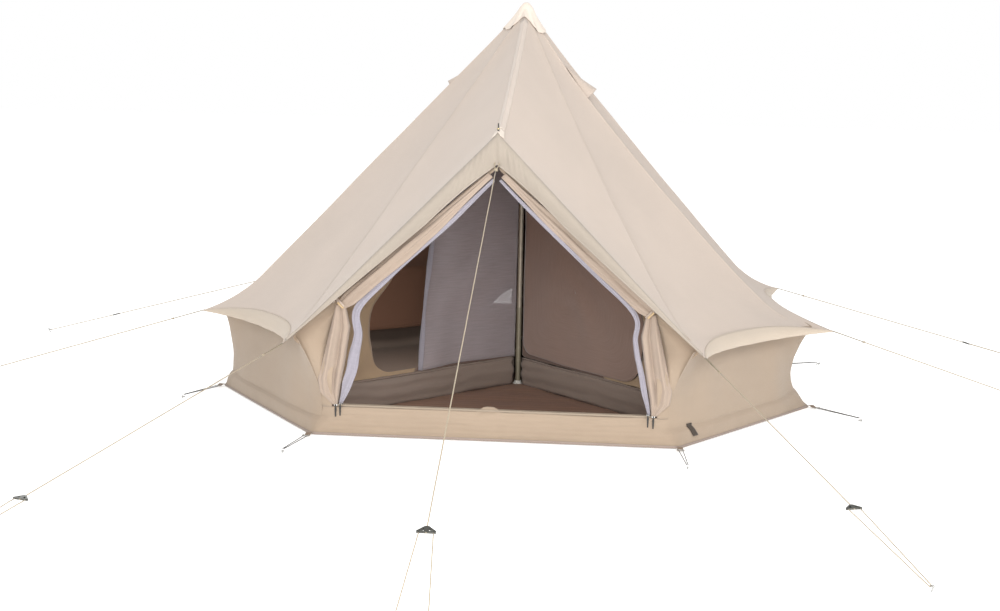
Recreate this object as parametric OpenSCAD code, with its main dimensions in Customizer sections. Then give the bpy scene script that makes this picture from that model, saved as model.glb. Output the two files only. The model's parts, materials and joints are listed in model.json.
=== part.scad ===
// Bell tent, pitched, with its poles, inner cabins, guy lines and pegs.
// Millimetres. Origin on the ground at the centre pole's axis, +Z up, the door towards -Y.

/* [Outline] */
// Height of the apex above the ground
tent_h = 2000; // [1950:5:2050]
// Front ground corner, to the right of the door: distance from the middle plane
front_x = 828; // [810:1:845]
// Distance of the door side from the centre pole
front_y = 1447; // [1430:1:1460]
// Side ground corner: distance from the middle plane
side_x = 1502; // [1490:1:1515]
// Side ground corner: distance in front of the centre pole
side_y = 352; // [340:1:365]
// Rear side ground corner: distance from the middle plane
flank_x = 1335; // [1320:1:1350]
// Rear side ground corner: distance behind the centre pole
flank_y = 846; // [830:1:860]
// Rear ground corner: distance from the middle plane
rear_x = 600; // [585:1:615]
// Distance of the rear side from the centre pole
rear_y = 1500; // [1485:1:1515]
// Thickness given to each sheet of canvas
cloth = 2.5; // [1.5:0.5:3]

/* [Eaves] */
// How far the seam between roof and wall curves in between two eave tips
seam_inset = 170; // [150:5:180]
// How far that seam rises between two eave tips
seam_rise = 46; // [30:2:50]
// Width of the band that hangs outside the seam
band_w = 80; // [60:2:90]
// Distance between an eave tip and the top of the wall corner below it
tip_reach = 165; // [150:5:180]

/* [Door] */
// Height of the roof's peak above the door
peak_z = 1370; // [1360:2:1380]
// Distance of that peak from the centre pole
peak_y = 1530; // [1520:2:1540]
// Height of the sill
sill_h = 135; // [120:1:140]
// Height of the top of the doorway
door_top_z = 1235; // [1225:1:1240]
// Height of the loops that hold the doors open
tie_z = 592; // [585:1:600]
// Distance of those loops from the middle plane
tie_x = 690; // [680:1:700]
// Travel of each zip slider along the sill
zip_travel = 560; // [400:10:580]

/* [Poles] */
// Outer diameter of the centre pole's lower tube
pole_lower_d = 28; // [27:1:32]
// Outer diameter of the centre pole's middle tube
pole_middle_d = 25; // [24:0.5:26]
// Outer diameter of the centre pole's upper tube
pole_upper_d = 22; // [20:0.5:22]
// Wall of every pole tube
tube_wall = 1.2; // [1:0.1:1.5]
// Radial clearance of every sliding fit
fit_gap = 0.05; // [0.02:0.01:0.1]
// Height of the clamp between middle and upper tube
clamp_z = 986; // [950:2:1000]
// Outer diameter of the door frame's tubes
frame_d = 16; // [15:1:19]
// Distance of the door frame's legs from the middle plane
leg_x = 748; // [740:1:755]
// Distance of the door frame's legs from the centre pole
leg_y = 1392; // [1385:1:1400]

/* [Guy lines] */
// Diameter of the guy cord
cord_d = 3.2; // [2.5:0.1:4]
// Width of a runner
runner_w = 62; // [58:2:76]
// Length of a peg
peg_l = 230; // [180:10:260]

/* [Inner cabins] */
// Bearing of each cabin's front wall, from straight ahead
cabin_az = 38; // [36:1:40]
// Height of the cabins' floor trays
tray_h = 145; // [120:5:160]

/* [Hidden] */
$fn = 48;

// Colours of the real materials
canvas_c = [0.87, 0.82, 0.74];
band_c = [0.90, 0.86, 0.79];
wall_c = [0.77, 0.69, 0.59];
net_c = [0.62, 0.60, 0.72];
tray_c = [0.46, 0.39, 0.34];
cabin_c = [0.27, 0.18, 0.14];
steel_c = [0.62, 0.61, 0.57];
olive_c = [0.36, 0.35, 0.28];
dark_c = [0.13, 0.12, 0.11];

// ---- Points of the outline ----
function flip_x(p) = [for (i = [0:len(p) - 1]) i == 0 ? -p[0] : p[i]];
function lerp(a, b, t) = a + (b - a) * t;
function unit(v) = v / norm(v);
function flat(p) = [p[0], p[1], 0];

// Ground corners and eave tips, from the front right corner round by the rear
right_ground = [
  [front_x, -front_y, 0],
  [side_x, -side_y, 0],
  [flank_x, flank_y, 0],
  [rear_x, rear_y, 0]];
right_tips = [
  [front_x + 92, -front_y - 162, 435],
  [side_x + 89, -side_y - 54, 399],
  [flank_x + 82, flank_y + 40, 450],
  [rear_x + 45, rear_y + 112, 430]];
ground = concat(right_ground, [for (i = [3:-1:0]) flip_x(right_ground[i])]);
tips = concat(right_tips, [for (i = [3:-1:0]) flip_x(right_tips[i])]);
sides = [0:6];
apex_ring = 24;
apex_ring_z = tent_h - 45;
peak = [0, -peak_y, peak_z];

// Outward direction of the side between corners i and i + 1
function side_dir(i) = let (
  middle = flat(lerp(ground[i], ground[i + 1], 0.5)),
  run = ground[i + 1] - ground[i],
  n = unit([run[1], -run[0], 0])) n * sign(n * middle);
// 0 at both tips and nearly 1 along most of a side
function bow(t) = 1 - pow(abs(2 * t - 1), 2.6);

steps = 10;
band_end_w = 6;
function seam(i, t) = lerp(tips[i], tips[i + 1], t)
  + bow(t) * ([0, 0, seam_rise] - side_dir(i) * seam_inset);
// The band hangs outwards and down from the seam
function band_down(i) = side_dir(i) * 0.62 - [0, 0, 0.785];
function hem(i, t) = seam(i, t) + band_down(i) * lerp(band_end_w, band_w, bow(t));
function apex_point(p) = unit(flat(p)) * apex_ring + [0, 0, apex_ring_z];
// Just inside the seam the roof runs steeper, so that the tips flare
function knee(i, t) = let (s = seam(i, t), k = 1 - bow(t), d = unit(flat(s)))
  s - d * (20 + tip_reach * k) + [0, 0, 20 + 48 * k];

// ---- A closed thin sheet over rows of points, thickened by the vector shift ----
// Point number a, b in the same row, d, e in the next
function cell(a, b, d, e, front) = front ? [[a, b, e], [a, e, d]] : [[a, e, b], [a, d, e]];
function grid_faces(r, c, o, front) = [for (i = [0:r - 2], j = [0:c - 2])
  let (a = o + i * c + j) each cell(a, a + 1, a + c, a + c + 1, front)];
// The wall between edge a-b of the outer skin and the same edge of the inner one
function wall(a, b, o) = [a, b, o + b, o + a];
function rim_faces(r, c, o) = concat(
  [for (j = [0:c - 2]) wall(j, j + 1, o)],
  [for (j = [0:c - 2]) wall((r - 1) * c + j + 1, (r - 1) * c + j, o)],
  [for (i = [0:r - 2]) wall((i + 1) * c, i * c, o)],
  [for (i = [0:r - 2]) wall(i * c + c - 1, (i + 1) * c + c - 1, o)]);
function sum(v, i = 0) = i == len(v) ? 0 : v[i] + sum(v, i + 1);
function face_volume(p, q) = sum([for (k = [1:len(q) - 2]) p[q[0]] * cross(p[q[k]], p[q[k + 1]])]);
function fan_volume(p, f) = sum([for (q = f) face_volume(p, q)]);
function turned(f) = [for (q = f) [for (k = [len(q) - 1:-1:0]) q[k]]];
function facing_out(p, f) = fan_volume(p, f) > 0 ? turned(f) : f;

module sheet(rows, shift) {
  r = len(rows);
  c = len(rows[0]);
  outer = [for (row = rows) each row];
  points = concat(outer, [for (p = outer) p + shift]);
  o = r * c;
  faces = concat(grid_faces(r, c, 0, false), grid_faces(r, c, o, true), rim_faces(r, c, o));
  polyhedron(points, facing_out(points, faces), convexity = 6);
}

// ---- Straight members ----
// Puts children, drawn along +Z, on the line from a to b
module along(a, b) {
  d = b - a;
  translate(a)
    rotate([0, acos(d[2] / norm(d)), atan2(d[1], d[0])])
      children();
}
module rod(a, b, r) {
  along(a, b) cylinder(h = norm(b - a), r = r);
}
module tube(a, b, r_out, r_in) {
  along(a, b) difference() {
    cylinder(h = norm(b - a), r = r_out);
    translate([0, 0, -1]) cylinder(h = norm(b - a) + 2, r = r_in);
  }
}
module both() {
  children();
  mirror([1, 0, 0]) children();
}

// ================= Canvas =================
// The front panels run from the ridge over the door round to the side seam
ridge_gap = 2.6;
function front_edge(t) = lerp(peak + [ridge_gap, 0, 0], tips[0], t);
function front_knee(t) = let (p = front_edge(t), k = pow(t, 5))
  lerp(p, apex_point(p), 0.05) - [0, 0, 14 * k];
edge_steps = 5;
front_columns = concat(
  [for (j = [0:edge_steps - 1]) let (t = j / edge_steps) [front_edge(t), front_knee(t)]],
  [for (j = [0:steps]) let (t = j / steps, k = pow(1 - t, 3))
    [seam(0, t), lerp(knee(0, t), front_knee(1), k)]]);
front_normal = unit(cross(knee(0, 1) - peak, tips[0] - peak));
function up(v) = v[2] < 0 ? -v : v;

module front_panel() {
  last = len(front_columns) - 1;
  back = unit(tips[0] - tips[1]) * seam_gap;
  function off(k) = k == last ? back : [0, 0, 0];
  at_apex = [for (k = [0:last])
    apex_point(front_columns[k][0]) + (k == 0 ? [ridge_gap, 0, 0] : off(k))];
  at_knee = [for (k = [0:last]) front_columns[k][1] + off(k)];
  at_seam = [for (k = [0:last]) front_columns[k][0] + off(k)];
  sheet([at_apex, at_knee, at_seam], -up(front_normal) * cloth);
}

function panel_normal(i) = let (
  down = knee(i, 0.5) - apex_point(seam(i, 0.5)),
  across = knee(i, 0.6) - knee(i, 0.4)) up(unit(cross(down, across)));
// The panels stop just short of each other at their seams
seam_gap = 2;
function end_sign(j) = j == 0 ? 1 : j == steps ? -1 : 0;
function short_of_seam(i, j) = unit(tips[i + 1] - tips[i]) * seam_gap * end_sign(j);
module roof_panel(i) {
  at_apex = [for (j = [0:steps]) apex_point(seam(i, j / steps)) + short_of_seam(i, j)];
  at_knee = [for (j = [0:steps]) knee(i, j / steps) + short_of_seam(i, j)];
  at_seam = [for (j = [0:steps]) seam(i, j / steps) + short_of_seam(i, j)];
  sheet([at_apex, at_knee, at_seam], -panel_normal(i) * cloth);
}

spike_y = peak_y - 24;
module spike_hole(r) {
  translate([0, -spike_y, peak_z - 90]) cylinder(h = 180, r = r);
}

// A vent lies high on each side, on the panel behind the side seam
vent_side = 1;
function vent_line(s) = lerp(apex_point(seam(vent_side, 0.5)), knee(vent_side, 0.5), s);
vent_top = vent_line(0.19);
vent_foot = vent_line(0.30);
vent_across = unit(cross(panel_normal(vent_side), vent_foot - vent_top));
vent_half_w = 85;
vent_spread = vent_across * vent_half_w;
function vent_corners(k) = let (m = lerp(vent_top, vent_foot, 0.62))
  [for (p = [vent_top, vent_foot - vent_spread, vent_foot + vent_spread]) lerp(m, p, k)];
// A triangular plate over three points, from depth lo to hi along the panel's normal
module vent_plate(k, lo, hi) {
  c = vent_corners(k);
  n = panel_normal(vent_side);
  polyhedron([for (p = c) p + n * hi, for (p = c) p + n * lo],
    [[0, 1, 2], [5, 4, 3], [0, 3, 4, 1], [1, 4, 5, 2], [2, 5, 3, 0]]);
}

module roof_canopy() color(canvas_c) {
  both() difference() {
    front_panel();
    spike_hole(11);
  }
  both() difference() {
    roof_panel(1);
    vent_plate(0.86, -20, 20);
  }
  both() roof_panel(2);
  roof_panel(3);
}

// Each band and wall starts and ends this far along its side
seam_end = 0.002;
wall_end = 0.004;
band_drop = 3;
module eave_band() color(band_c)
  for (i = sides) {
    ts = [for (j = [0:steps]) lerp(seam_end, 1 - seam_end, j / steps)];
    upper = [for (t = ts) seam(i, t) + band_down(i) * band_drop];
    lower = [for (t = ts) hem(i, t) + band_down(i) * band_drop];
    sheet([upper, lower], -unit(side_dir(i) * 0.785 + [0, 0, 0.62]) * cloth);
  }

// The walls hang inside the seam, and rise a little less by the door than elsewhere
function by_door(i, t) = i == 0 && t < 0.5 || i == 6 && t > 0.5;
function wall_top(i, t) = let (s = seam(i, t), k = 1 - bow(t))
  s - unit(flat(s)) * (8 + tip_reach * k) + [0, 0, (by_door(i, t) ? 40 : 62) * k - 14];
module wall_panel(i) {
  ts = [for (j = [0:steps]) lerp(wall_end, 1 - wall_end, j / steps)];
  upper = [for (t = ts) wall_top(i, t)];
  lower = [for (t = ts) lerp(ground[i], ground[i + 1], t)];
  sheet([upper, lower], -side_dir(i) * cloth);
}
module side_walls() color(wall_c) {
  for (i = [0, 1, 2, 4, 5, 6]) wall_panel(i);
  difference() {
    wall_panel(3);
    on_rear_wall() translate([0, 0, -20]) linear_extrude(40)
      half_moon(window_half_w - 12, window_rise - 12);
  }
}

// ---- The door's plane: drawn as x across and y up, extruded towards the front ----
gable_lean = 3.2;
module on_gable() {
  translate([0, -front_y, 0]) rotate([90 + gable_lean, 0, 0]) children();
}
function gable_point(x, z, front = 0) = [x, -front_y - z * sin(gable_lean) - front, z * cos(gable_lean)];

gable_half_w = front_x - 6;
gable_top = peak_z - 25;
gable_side_z = 520;
hood_bottom = door_top_z + 27;
hole_tie = [tie_x + 58, tie_z];
hole_foot_x = front_x - 36;
seam_clear = 1.5;
module door_gable() color(wall_c)
  on_gable() translate([0, 0, -cloth]) linear_extrude(cloth) difference() {
    polygon([[-gable_half_w, sill_h + seam_clear], [gable_half_w, sill_h + seam_clear],
      [gable_half_w, gable_side_z], [0, gable_top], [-gable_half_w, gable_side_z]]);
    polygon([[-hole_foot_x, sill_h - 5], [hole_foot_x, sill_h - 5], hole_tie, [0, hood_bottom],
      [-hole_tie[0], hole_tie[1]]]);
  }
module door_sill() color(wall_c)
  on_gable() translate([0, 0, -cloth]) linear_extrude(cloth)
    polygon([[-front_x + 4, 0.5], [front_x - 4, 0.5], [front_x - 6, sill_h], [-front_x + 6, sill_h]]);

// ---- The doors, rolled back to the edges of the doorway and tied ----
roll_r = 22;
net_roll_r = 12;
wing_foot_z = sill_h + 24;
slider_x = tie_x + 10;
roll_top = gable_point(28, door_top_z - 45);
roll_foot = gable_point(tie_x, tie_z);
roll_dir = unit(roll_top - roll_foot);
module door_canvas() {
  rod(roll_top, roll_foot, roll_r);
  on_gable() translate([0, 0, -8]) linear_extrude(16)
    polygon([[tie_x - 17, tie_z - 7], [tie_x + 18, tie_z - 7], [tie_x + 68, 300],
      [tie_x + 45, 200], [tie_x + 20, wing_foot_z], [tie_x, wing_foot_z], [tie_x + 8, 300]]);
}
module door_net() {
  rod(gable_point(16, door_top_z - 86), gable_point(tie_x - 38, tie_z - 23), net_roll_r);
  on_gable() translate([0, 0, -5]) linear_extrude(10)
    polygon([[tie_x - 48, tie_z - 18], [tie_x - 30, tie_z - 18], [tie_x - 2, 300],
      [tie_x - 3, 200], [tie_x - 6, wing_foot_z], [tie_x - 22, wing_foot_z], [tie_x - 30, 300]]);
}
module door_canvas_right() color(canvas_c) door_canvas();
module door_canvas_left() color(canvas_c) mirror([1, 0, 0]) door_canvas();
module door_net_right() color(net_c) door_net();
module door_net_left() color(net_c) mirror([1, 0, 0]) door_net();

// A strap round each roll, with a stud for its toggle
strap_r = roll_r + 5;
strap_w = 14;
stud_r = 1.5;
stud_l = 12;
strap_middle = roll_foot + roll_dir * 11;
module tie_back_straps() color(canvas_c) both() {
  along(roll_foot, roll_top) translate([0, 0, 4]) difference() {
    cylinder(h = strap_w, r = strap_r);
    translate([0, 0, -1]) cylinder(h = strap_w + 2, r = roll_r + 0.5);
  }
  translate(strap_middle - [0, strap_r - 1, 0]) rotate([90, 0, 0]) cylinder(h = stud_l, r = stud_r);
}
toggle_c = [0.72, 0.60, 0.42];
toggle_at = strap_middle - [0, strap_r + 7, 0];
module toggle() translate(toggle_at) difference() {
  rotate([0, 45, 0]) cylinder(h = 36, r = 5, center = true);
  rotate([90, 0, 0]) cylinder(h = 20, r = stud_r + fit_gap, center = true);
}
module tie_toggle_right() color(toggle_c) toggle();
module tie_toggle_left() color(toggle_c) mirror([1, 0, 0]) toggle();

// ---- Zips along the sill: the outer one closes the canvas door, the inner one the net ----
chain_z = sill_h + 6;
outer_y = -(front_y + 13);
inner_y = -(front_y - 10);
module zip_chains() color(dark_c)
  for (y = [outer_y, inner_y]) {
    translate([-slider_x - 12, y - 2.5, chain_z]) cube([2 * slider_x + 24, 5, 3]);
    translate([-slider_x - 12, y - 0.6, sill_h + 1]) cube([2 * slider_x + 24, 1.2, chain_z - sill_h]);
  }

slider_l = 13;
pin_r = 1.5;
// The slider's block, open below for the tape
module slider_block() translate([-slider_l / 2, -5, chain_z - 3]) difference() {
  cube([slider_l, 10, 9]);
  translate([-1, 2, 2]) cube([slider_l + 2, 6, 5]);
  translate([-1, 3.5, -1]) cube([slider_l + 2, 3, 4]);
}
// A pin across two lugs, held at distance f in front of the track
module pull_pin(f, z) {
  translate([-5, -f, z]) rotate([0, 90, 0]) cylinder(h = 10, r = pin_r);
  for (x = [-5, 3]) translate([x, -f - 2.5, z - 2.5]) cube([2, f - 2, 5]);
}
outer_pin = 9;
inner_pin = 50;
inner_pin_z = chain_z + 11;
module slider_outer() translate([slider_x + 8, outer_y, 0]) {
  slider_block();
  pull_pin(outer_pin, chain_z + 2);
}
module slider_inner() translate([slider_x - 16, inner_y, 0]) {
  slider_block();
  translate([-5, -5, chain_z + 5]) cube([10, 10, 8.5]);
  pull_pin(inner_pin, inner_pin_z);
}
module zip_slider_right_outer() color("silver") slider_outer();
module zip_slider_right_inner() color("silver") slider_inner();
module zip_slider_left_outer() color("silver") mirror([1, 0, 0]) slider_outer();
module zip_slider_left_inner() color("silver") mirror([1, 0, 0]) slider_inner();

pull_l = 54;
// A tapered pull, hanging from its eye at the origin
module pull() {
  difference() {
    union() {
      translate([-2.6, 0, 0]) rotate([0, 90, 0]) cylinder(h = 5.2, r = 3.4);
      rotate([90, 0, 0]) translate([0, 0, -1.5]) linear_extrude(3)
        polygon([[-2.4, 0], [2.4, 0], [2.6, -8], [4.6, -14], [2.8, -pull_l], [-2.8, -pull_l],
          [-4.6, -14], [-2.6, -8]]);
    }
    translate([-4, 0, 0]) rotate([0, 90, 0]) cylinder(h = 8, r = pin_r + fit_gap);
  }
}
outer_pull_at = [slider_x + 8, outer_y - outer_pin, chain_z + 2];
inner_pull_at = [slider_x - 16, inner_y - inner_pin, inner_pin_z];
module zip_pull_right_outer() color(dark_c) translate(outer_pull_at) pull();
module zip_pull_right_inner() color(dark_c) translate(inner_pull_at) pull();
module zip_pull_left_outer() color(dark_c) translate(flip_x(outer_pull_at)) pull();
module zip_pull_left_inner() color(dark_c) translate(flip_x(inner_pull_at)) pull();

// ---- Cap over the apex, following the roof's seams ----
cap_reach = 150;
loop_points = concat(
  [for (j = [0:edge_steps - 1]) front_edge(j / edge_steps)],
  [for (i = sides, j = [0:2:steps - 1]) seam(i, j / steps)],
  [tips[7]],
  [for (j = [edge_steps - 1:-1:1]) flip_x(front_edge(j / edge_steps))]);
function roof_line(p) = unit(p - apex_point(p));
function cap_row(p, s, lift) = apex_point(p) + roof_line(p) * s + [0, 0, lift];
module wrapped_shell(outer, inner) {
  r = len(outer);
  c = len(outer[0]);
  n = r * c;
  points = concat([for (row = outer) each row], [for (row = inner) each row]);
  function at(i, j) = i * c + j % c;
  function ring(i, j, o, front) = cell(o + at(i, j), o + at(i, j + 1),
    o + at(i + 1, j), o + at(i + 1, j + 1), front);
  faces = concat(
    [for (i = [0:r - 2], j = [0:c - 1]) each ring(i, j, 0, false)],
    [for (i = [0:r - 2], j = [0:c - 1]) each ring(i, j, n, true)],
    [for (j = [0:c - 1]) let (a = at(r - 1, j), b = at(r - 1, j + 1)) each [[a, n + a, n + b], [a, n + b, b]]],
    [[for (j = [0:c - 1]) j]],
    [[for (j = [c - 1:-1:0]) n + j]]);
  polyhedron(points, facing_out(points, faces), convexity = 6);
}
module apex_cap() color([0.93, 0.87, 0.80]) {
  lift = 12;
  top = [for (p = loop_points) unit(flat(p)) * 10 + [0, 0, tent_h]];
  shoulder = [for (p = loop_points) unit(flat(p)) * 32 + [0, 0, apex_ring_z + lift + 12]];
  skirt = [for (p = loop_points) cap_row(p, 70, lift)];
  edge = [for (p = loop_points) cap_row(p, cap_reach, lift)];
  outer = [top, shoulder, skirt, edge];
  inner = [for (row = outer) [for (p = row) p - unit(flat(p)) * 1.2 - [0, 0, cloth]]];
  wrapped_shell(outer, inner);
}

hood_rise = 66;
module vent_hoods() color(canvas_c) both() {
  n = panel_normal(vent_side);
  a = vent_top + n * 6;
  side = vent_across * (vent_half_w + 8);
  sheet([[a - vent_across * 3, a + n, a + vent_across * 3],
      [vent_foot - side + n * 6, vent_foot + n * hood_rise, vent_foot + side + n * 6]],
    -n * cloth);
}
module vent_nets() color(net_c) both() vent_plate(0.82, -2, -1);

// ---- Reinforcement round the spike, and its eyelet ----
ridge_normal = up(unit(cross(tips[0] - peak, apex_point([0, -1, 0]) - peak)));
patch_t = 2;
patch_lift = 5;
// A point of the patch, x across and back behind the peak
function on_front(x, back) = let (n = ridge_normal)
  [x, back - peak_y, peak_z + patch_lift - (n[0] * x + n[1] * back) / n[2]];
module peak_patch() color([0.93, 0.90, 0.84]) both() difference() {
  sheet([[on_front(1, 95), on_front(22, 88)], [on_front(1, 40), on_front(46, 34)],
      [on_front(1, 2), on_front(40, 2)]], [0, 0, patch_t]);
  spike_hole(10);
}
eyelet_z = peak_z + 18;
eyelet_t = 2;
shank_r = 4.5;
module peak_eyelet() color([0.75, 0.62, 0.35])
  translate([0, -spike_y, eyelet_z]) difference() {
    cylinder(h = eyelet_t, r = 10);
    translate([0, 0, -1]) cylinder(h = eyelet_t + 2, r = shank_r + 0.7);
  }

floor_t = 2.5;
module groundsheet() color([0.41, 0.31, 0.26])
  linear_extrude(floor_t) polygon([for (p = ground) [p[0], p[1]] * 0.993]);

// ================= Centre pole =================
foot_z = floor_t + 0.5;
lower_top = 410;
middle_foot = 250;
middle_top = clamp_z + 16;
upper_foot = 720;
upper_top = tent_h - 70;
lower_bore = pole_middle_d / 2 + fit_gap;
middle_bore = pole_upper_d / 2 + fit_gap;
module pole_foot() color([0.86, 0.85, 0.82]) translate([0, 0, foot_z]) {
  cylinder(h = 5, r = 27);
  cylinder(h = 16, r = 19);
  cylinder(h = 46, r = lower_bore - fit_gap);
}
module pole_lower() color(olive_c) {
  tube([0, 0, foot_z + 16.5], [0, 0, lower_top], pole_lower_d / 2, lower_bore);
  tube([0, 0, lower_top - 26], [0, 0, lower_top - 6], pole_lower_d / 2 + 1.6, pole_lower_d / 2 - 0.3);
}
module pole_middle() color(steel_c) {
  tube([0, 0, middle_foot], [0, 0, middle_top], pole_middle_d / 2, middle_bore);
  tube([0, 0, 712], [0, 0, 728], pole_middle_d / 2 + 1.4, pole_middle_d / 2 - 0.3);
}
clamp_r = 20;
clamp_h = 42;
clamp_foot = clamp_z - clamp_h / 2;
lever_x = clamp_r + 7;
lever_pin_z = 22;
lever_pin_r = 2.5;
module pole_clamp() color(dark_c) translate([0, 0, clamp_foot]) {
  difference() {
    union() {
      cylinder(h = clamp_h, r = clamp_r);
      for (y = [-9, 4]) translate([clamp_r - 6, y, 12]) cube([18, 5, 20]);
    }
    translate([0, 0, -1]) cylinder(h = clamp_h + 2, r = pole_middle_d / 2 + fit_gap);
    translate([0, -1.5, -1]) cube([clamp_r + 20, 3, clamp_h + 2]);
  }
  translate([lever_x, 9.5, lever_pin_z]) rotate([90, 0, 0]) cylinder(h = 19, r = lever_pin_r);
}
module clamp_lever() color("silver") translate([lever_x, 0, clamp_foot + lever_pin_z]) difference() {
  union() {
    rotate([90, 0, 0]) cylinder(h = 7, r = 5.5, center = true);
    translate([-1, -3.5, -46]) cube([5, 7, 46]);
  }
  rotate([90, 0, 0]) cylinder(h = 20, r = lever_pin_r + fit_gap, center = true);
}
upper_r = pole_upper_d / 2;
module pole_upper() color(steel_c)
  tube([0, 0, upper_foot], [0, 0, upper_top], upper_r, upper_r - tube_wall);
module pole_spike() color(steel_c) {
  translate([0, 0, upper_top - 40]) cylinder(h = 41, r = upper_r - tube_wall - fit_gap);
  translate([0, 0, upper_top + 0.2]) cylinder(h = 8, r = upper_r);
  translate([0, 0, upper_top + 7]) cylinder(h = 28, r1 = 8, r2 = 5);
  translate([0, 0, upper_top + 34]) cylinder(h = 18, r = 4);
}

// ================= Door frame =================
bend_z = 565;
sleeve_foot = 350;
leg_top = 440;
head_at = [0, -spike_y + 6, peak_z - 62];
pin_foot_z = peak_z + 22;
pin_top_z = peak_z + 43;
rafter_foot = [leg_x, -leg_y, bend_z];
frame_r = frame_d / 2;
module frame_head() color(dark_c) {
  difference() {
    union() {
      translate(head_at) sphere(r = 15);
      both() along(head_at, rafter_foot) cylinder(h = 62, r = frame_r + 3);
    }
    both() along(head_at, rafter_foot) translate([0, 0, 22]) cylinder(h = 60, r = frame_r + 0.03);
  }
  translate([0, -spike_y, head_at[2]]) cylinder(h = pin_foot_z - head_at[2], r = shank_r);
  translate([0, -spike_y, pin_foot_z - 1]) cylinder(h = pin_top_z - pin_foot_z + 1, r = 3);
}
// Each rafter runs down from the head, bends, and ends in a sleeve over its leg
module rafter() {
  start = head_at + unit(rafter_foot - head_at) * 24;
  difference() {
    union() {
      rod(start, rafter_foot, frame_r);
      translate(rafter_foot) sphere(r = frame_r + 2.4);
      translate([leg_x, -leg_y, sleeve_foot]) cylinder(h = bend_z - sleeve_foot, r = frame_r + 2.4);
    }
    translate([leg_x, -leg_y, sleeve_foot - 1]) cylinder(h = bend_z - sleeve_foot - 12, r = frame_r + fit_gap);
  }
}
module frame_rafters() color(steel_c) both() rafter();
module frame_legs() color(steel_c) both()
  tube([leg_x, -leg_y, foot_z + 10], [leg_x, -leg_y, leg_top], frame_r, frame_r - tube_wall);
module frame_feet() color(dark_c) both() translate([leg_x, -leg_y, foot_z]) {
  cylinder(h = 9.6, r = frame_r + 5);
  cylinder(h = 34, r = frame_r - tube_wall - 0.1);
}

// ================= Inner cabins =================
wall_gap = 112;
cabin_r0 = 62;
cabin_r1 = 1500;
cabin_top = 1770;
eave_in_z = 395;
function bearing(r, az) = [r * sin(az), -r * cos(az)];
function inset(p, k) = unit([p[0], p[1]]) * (norm([p[0], p[1]]) - k);
cabin_outline = [
  bearing(cabin_r0, cabin_az),
  bearing(cabin_r1, cabin_az),
  inset(ground[1], wall_gap),
  inset(ground[2], wall_gap),
  inset(ground[3], wall_gap),
  [30, inset(ground[3], wall_gap)[1]],
  [30, 60]];
tray_t = 3;
module cabin_trays() color(tray_c) both() translate([0, 0, floor_t + 1]) difference() {
  centre = [560, 300];
  linear_extrude(tray_h) polygon(cabin_outline);
  translate([0, 0, tray_t]) linear_extrude(tray_h)
    polygon([for (p = cabin_outline) centre + (p - centre) * 0.992]);
}

// Drawn in the front wall's plane: x outward from the pole, y up
module on_cabin_front(side = 1) {
  mirror([side < 0 ? 1 : 0, 0, 0]) rotate([0, 0, cabin_az - 90]) rotate([90, 0, 0]) children();
}
function cabin_roof_z(r) = 1880 - 0.915 * r;
front_lift = tray_h + 8;
module cabin_doorway() hull() {
  translate([935, 420]) circle(r = 140);
  translate([930, 300]) circle(r = 130);
  translate([200, 250]) circle(r = 75);
  translate([200, 1330]) circle(r = 75);
}
module cabin_front() difference() {
  translate([0, 0, 3]) linear_extrude(cloth)
    polygon([[cabin_r0 + 6, front_lift], [cabin_r1 - 8, front_lift],
      [cabin_r1 - 8, cabin_roof_z(cabin_r1)], [cabin_r0 + 6, cabin_top]]);
  linear_extrude(20) intersection() {
    cabin_doorway();
    translate([0, front_lift + 14]) square(1600);
  }
}
module cabin_fronts() color(wall_c) {
  on_cabin_front(1) cabin_front();
  on_cabin_front(-1) cabin_front();
}
module cabin_door_left() color(net_c) on_cabin_front(-1) translate([0, 0, 10]) linear_extrude(1.5)
  polygon([[100, front_lift], [735, front_lift + 4], [705, 400], [645, 826], [545, 1190],
    [100, 1460]]);
module cabin_door_right() color(net_c) on_cabin_front(1) translate([0, 0, 10]) linear_extrude(1.5)
  intersection() {
    cabin_doorway();
    translate([0, front_lift + 18]) square(1600);
  }

shell_outline = [for (k = [1:5]) cabin_outline[k]];
shell_t = 2;
divider_x = 32;
function shell_row(share, z) = [for (p = shell_outline) [12 + (p[0] - 12) * share, p[1] * share, z]];
module shell_walls() linear_extrude(eave_in_z - 3 - front_lift) {
  outer = shell_row(0.985, 0);
  inner = shell_row(0.983, 0);
  polygon([for (p = concat(outer, [for (k = [len(inner) - 1:-1:0]) inner[k]])) [p[0], p[1]]]);
}
module cabin_shells() color(cabin_c) both() {
  difference() {
    translate([0, 0, front_lift]) shell_walls();
    on_rear_wall() translate([0, 0, -300]) linear_extrude(320)
      half_moon(window_half_w - 20, window_rise - 20);
  }
  sheet([[for (p = shell_row(0.05, cabin_top)) p + [14, 0, 0]], shell_row(0.985, eave_in_z)],
    [0, 0, -shell_t]);
  translate([divider_x, 0, 0]) rotate([90, 0, 90]) linear_extrude(shell_t)
    polygon([[66, front_lift], [1320, front_lift], [1320, eave_in_z - 8], [66, cabin_top - 60]]);
}

// ================= Rear window =================
window_z = 218;
window_half_w = 300;
window_rise = 165;
rear_lean = 7;
module on_rear_wall()
  translate([0, rear_y, 0]) rotate([90, 0, 180]) rotate([-rear_lean, 0, 0])
    translate([0, window_z, 0]) children();
module half_moon(half_w, rise) {
  r = (half_w * half_w + rise * rise) / (2 * rise);
  intersection() {
    translate([0, rise - r]) circle(r = r, $fn = 120);
    translate([-half_w, 0]) square([2 * half_w, rise]);
  }
}
module window_net() color(net_c) on_rear_wall() translate([0, 0, -2]) linear_extrude(1)
  half_moon(window_half_w - 15, window_rise - 15);
module window_binding() color(tray_c) on_rear_wall() translate([0, 0, 1.5]) linear_extrude(2.5) difference() {
  half_moon(window_half_w, window_rise);
  translate([0, 13]) half_moon(window_half_w - 26, window_rise - 26);
}
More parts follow.
